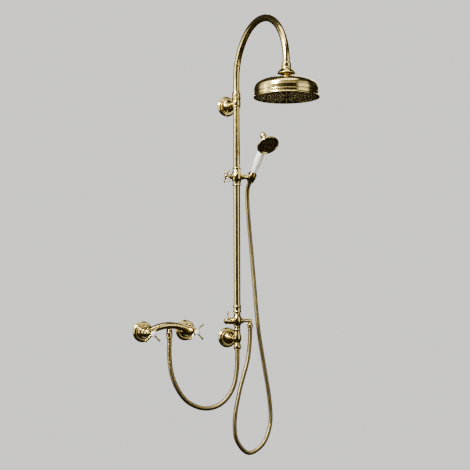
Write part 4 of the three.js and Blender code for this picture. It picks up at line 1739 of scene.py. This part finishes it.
@dataclass
class Tap(Assembly):
    """One of the mixer's taps, about an axis out of the wall.

    Attributes:
        side: hot or cold.
        x: where it stands, in millimetres.
        mouth: the radius of the hole in its flange.
        cross_at: how far out its cross's arms are.
    """

    side: str = "hot"
    x: float = 0.0
    mouth: float = 16.9
    cross_at: float = 89.0

    def build(self) -> None:
        """Makes the flange, the union, the bonnet, the cross handle and the button."""
        side, place = self.side, at(self.x, 0, MIXER_Z, Toward.VIEWER)
        flange = Bench.turn(f"{side}_flange_bell", flange_outline(self.mouth), place, 96)
        self.fit(flange, "column", f"{side}_wall_flange")
        union = Outline.start(8, 0).to((12.4, 0), (12.4, 20), (15.2, 20)).bow(15.6, 23.2, 0.7)
        union.to((15.2, 24), (15.9, 25), (15.9, 30)).bow(14.8, 34, 0.6, 6).to((8, 34)).closed()
        self.turned(f"{side}_union_nut", union, place, "column", f"{side}_inlet_union")
        bonnet = Outline.start(4.4, 50).to((8.6, 50), (8.6, 62.3)).ring(11.6, 62.3, 65.2, 0.8)
        bonnet.to((10.6, 66)).bow(9.0, 69, -0.4, 5).to((9.0, 73)).bow(9.8, 74.2, -0.1, 3)
        bonnet.bow(9.8, 77.5, 0.8, 6).to((4.4, 77.5)).closed()
        self.turned(f"{side}_gland", bonnet, place, "column", f"{side}_bonnet")
        hub = Outline.start(4.4, 78).to((7.2, 78)).bow(7.4, 80.4, 0.5, 5).bow(9.4, 84, -0.3, 4)
        hub.ring(9.7, 86, 94.6, 0.3, 6).bow(9.0, 98, 0.4, 5).to((6.6, 98), (6.6, 95.4), (4.4, 95.4))
        hub.closed()
        arm = Outline.start(0, 6.2).to((3.6, 6.2), (3.6, 11)).flow((2.8, 14), (2.3, 19), (2.2, 23))
        arm.ring(3.1, 23.7, 25.3, 0.5, 4).to((2.2, 26), (2.2, 27.4)).ball(4.2, 31.5)
        handle = cross_handle(f"{side}_cross_turned", hub, arm, self.cross_at, place)
        self.fit(handle, f"{side}_handle", f"{side}_cross_handle")
        button = Outline.start(0, 98.3).to((8.8, 98.3)).bow(8.6, 99.6, 0.3, 4).sweep(0, 102.6, True, 10)
        body, node = f"{side}_handle", f"{side}_ceramic_button"
        self.turned(f"{side}_button", button, place, body, node, slot=Slot.CERAMIC)


# ---- studio


@dataclass(frozen=True)
class Panel:
    """A soft panel of light that faces the column.

    Attributes:
        name: the light's name.
        azimuth: degrees round from straight out of the wall, to the right.
        distance: metres from the column.
        height: its middle's height.
        size: its width and height.
        power: its power in watts.
        warmth: its colour.
    """

    name: str
    azimuth: float
    distance: float
    height: float
    size: Point
    power: float
    warmth: Spot = (1.0, 0.97, 0.91)

    def hang(self, target: Vector) -> None:
        """Adds the light, facing a point.

        Args:
            target: the point.
        """
        data = bpy.data.lights.new(self.name, "AREA")
        data.shape = "RECTANGLE"
        data.size, data.size_y = self.size
        data.energy = self.power
        data.color = self.warmth
        lamp = bpy.data.objects.new(self.name, data)
        angle = math.radians(self.azimuth)
        spot = target + Vector((math.sin(angle), -math.cos(angle), 0)) * self.distance
        spot.z = self.height
        facing = (target - spot).to_track_quat("-Z", "Y").to_matrix().to_4x4()
        lamp.matrix_world = Matrix.Translation(spot) @ facing
        lamp.visible_camera = False
        bpy.context.collection.objects.link(lamp)


PANELS = (
    Panel("left_panel", -102, 2.2, 0.8, (2.4, 2.6), 24),
    Panel("left_strip", -100, 2.0, 0.8, (0.35, 2.6), 10),
    Panel("front_panel", 28, 2.6, 0.7, (1.7, 2.4), 17),
    Panel("key_lamp", -66, 2.2, 2.0, (0.7, 0.7), 140),
    Panel("top_panel", -20, 1.2, 3.0, (2.0, 1.6), 30),
    Panel("back_panel", 130, 2.4, 1.75, (1.6, 1.6), 14),
)


@dataclass
class Studio:
    """The camera, the lights and the floor.

    Attributes:
        eye: the camera's place, in metres.
        yaw: its heading, in degrees from +Y.
        pitch: how far it looks up, in degrees.
        roll: how far it leans, in degrees.
        lens: its focal length, in millimetres.
        sensor: the width of its frame.
        target: what the lights face.
        pale: the colour of the background and the floor.
        sky: the colour that the metal reflects where no light is.
        sky_power: how strong that is.
        floor_z: the floor's height.
        floor_r: the floor's radius.
    """

    eye: Spot = (-1.350, -2.740, 0.241)
    yaw: float = -26.75
    pitch: float = 2.0
    roll: float = -0.22
    lens: float = 68.68
    sensor: float = 36.0
    target: Spot = (0, -0.1, 0.35)
    pale: Spot = (0.80, 0.79, 0.77)
    sky: Spot = (0.07, 0.062, 0.05)
    sky_power: float = 0.42
    floor_z: float = -1.05
    floor_r: float = 2.6

    def camera(self) -> None:
        """Adds the camera and makes it the scene's."""
        yaw, pitch, roll = (math.radians(a) for a in (self.yaw, self.pitch, self.roll))
        level = Vector((math.cos(yaw), math.sin(yaw), 0))
        flat = Vector((-math.sin(yaw), math.cos(yaw), 0))
        ahead = flat * math.cos(pitch) + Vector((0, 0, math.sin(pitch)))
        upright = level.cross(ahead)
        right = math.cos(roll) * level + math.sin(roll) * upright
        up = -math.sin(roll) * level + math.cos(roll) * upright
        data = bpy.data.cameras.new("camera")
        data.lens = self.lens
        data.sensor_width = self.sensor
        data.clip_start = 0.05
        camera = bpy.data.objects.new("camera", data)
        turn = Matrix((right, up, -ahead)).transposed().to_4x4()
        camera.matrix_world = Matrix.Translation(self.eye) @ turn
        bpy.context.collection.objects.link(camera)
        bpy.context.scene.camera = camera

    def lights(self) -> None:
        """Adds the panels and the sky."""
        for panel in PANELS:
            panel.hang(Vector(self.target))
        world = bpy.data.worlds.new("studio")
        bpy.context.scene.world = world
        world.use_nodes = True
        make = Recipe(world.node_tree)
        plain = make.feed(world.node_tree.nodes["Background"], {0: (*self.pale, 1), 1: 1.0})
        dim = make.node("Background", {0: (*self.sky, 1), 1: self.sky_power})
        seen = make.node("LightPath").outputs["Is Camera Ray"]
        mix = make.node("MixShader", {0: seen, 1: dim.outputs[0], 2: plain.outputs[0]})
        make.feed(world.node_tree.nodes["World Output"], {0: mix.outputs[0]})
        bpy.context.scene.view_settings.look = "AgX - Medium High Contrast"

    def floor(self, effects: Effects) -> None:
        """Adds the pale floor.

        Args:
            effects: the node groups that finishes share.
        """
        bpy.ops.object.select_all(action="DESELECT")
        bpy.ops.mesh.primitive_circle_add(
            vertices=96, radius=self.floor_r, fill_type="NGON", location=(0, -0.4, self.floor_z)
        )
        floor = bpy.context.object
        floor.name = "floor"
        bpy.ops.object.transform_apply(location=True, rotation=True, scale=True)
        finish = TintedMetal("floor_plaster", self.pale, (0.77, 0.76, 0.74), 0.0, 0.6, 0.8, 2.0)
        floor.data.materials.append(finish.material(effects))
        floor.visible_glossy = False
        floor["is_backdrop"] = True


# ---- the whole shower


class Shower:
    """Builds the studio and every sub-assembly, in order.

    Attributes:
        hidden: what the names of the inner pieces hold, by the finish that they get.
    """

    hidden: dict[Slot, tuple[str, ...]] = {
        Slot.STEEL: ("wall_plate", "wall_screw", "grub_screw"),
        Slot.NYLON: ("cartridge", "bush"),
        Slot.BRASS: ("spindle", "core_tube"),
    }

    def __init__(self, nodes: dict[str, Piece]) -> None:
        """Keeps the CAD nodes."""
        self.nodes = nodes

    def build(self) -> None:
        """Makes everything."""
        studio = Studio()
        studio.camera()
        finishes = Finishes()
        hoses = Hoses(finishes)
        hoses.hang()
        hoses.nuts()
        for assembly in (
            WallBracket(finishes, "lower", 0.0),
            WallBracket(finishes, "upper", UPPER_Z),
            Riser(finishes),
            SwanNeck(finishes),
            InletBody(finishes),
            Diverter(finishes),
            OverheadRose(finishes),
            Slider(finishes),
            Handset(finishes),
            Mixer(finishes),
        ):
            assembly.build()
            log.info("%s is done", type(assembly).__name__)
        for slot, endings in self.hidden.items():
            for name, node in self.nodes.items():
                if any(ending in name for ending in endings):
                    finishes.dress(node, slot)
        studio.lights()
        studio.floor(finishes.effects)


def main() -> list[list[float]]:
    """Builds the scene around the frame.

    Returns:
        The CAD box, as lists.
    """
    logging.basicConfig(level=logging.INFO, format="%(name)s: %(message)s")
    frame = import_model()
    cad_box = [list(corner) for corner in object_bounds()]
    Shower(frame["nodes"]).build()
    return cad_box


if __name__ == "__main__":
    cad = main()
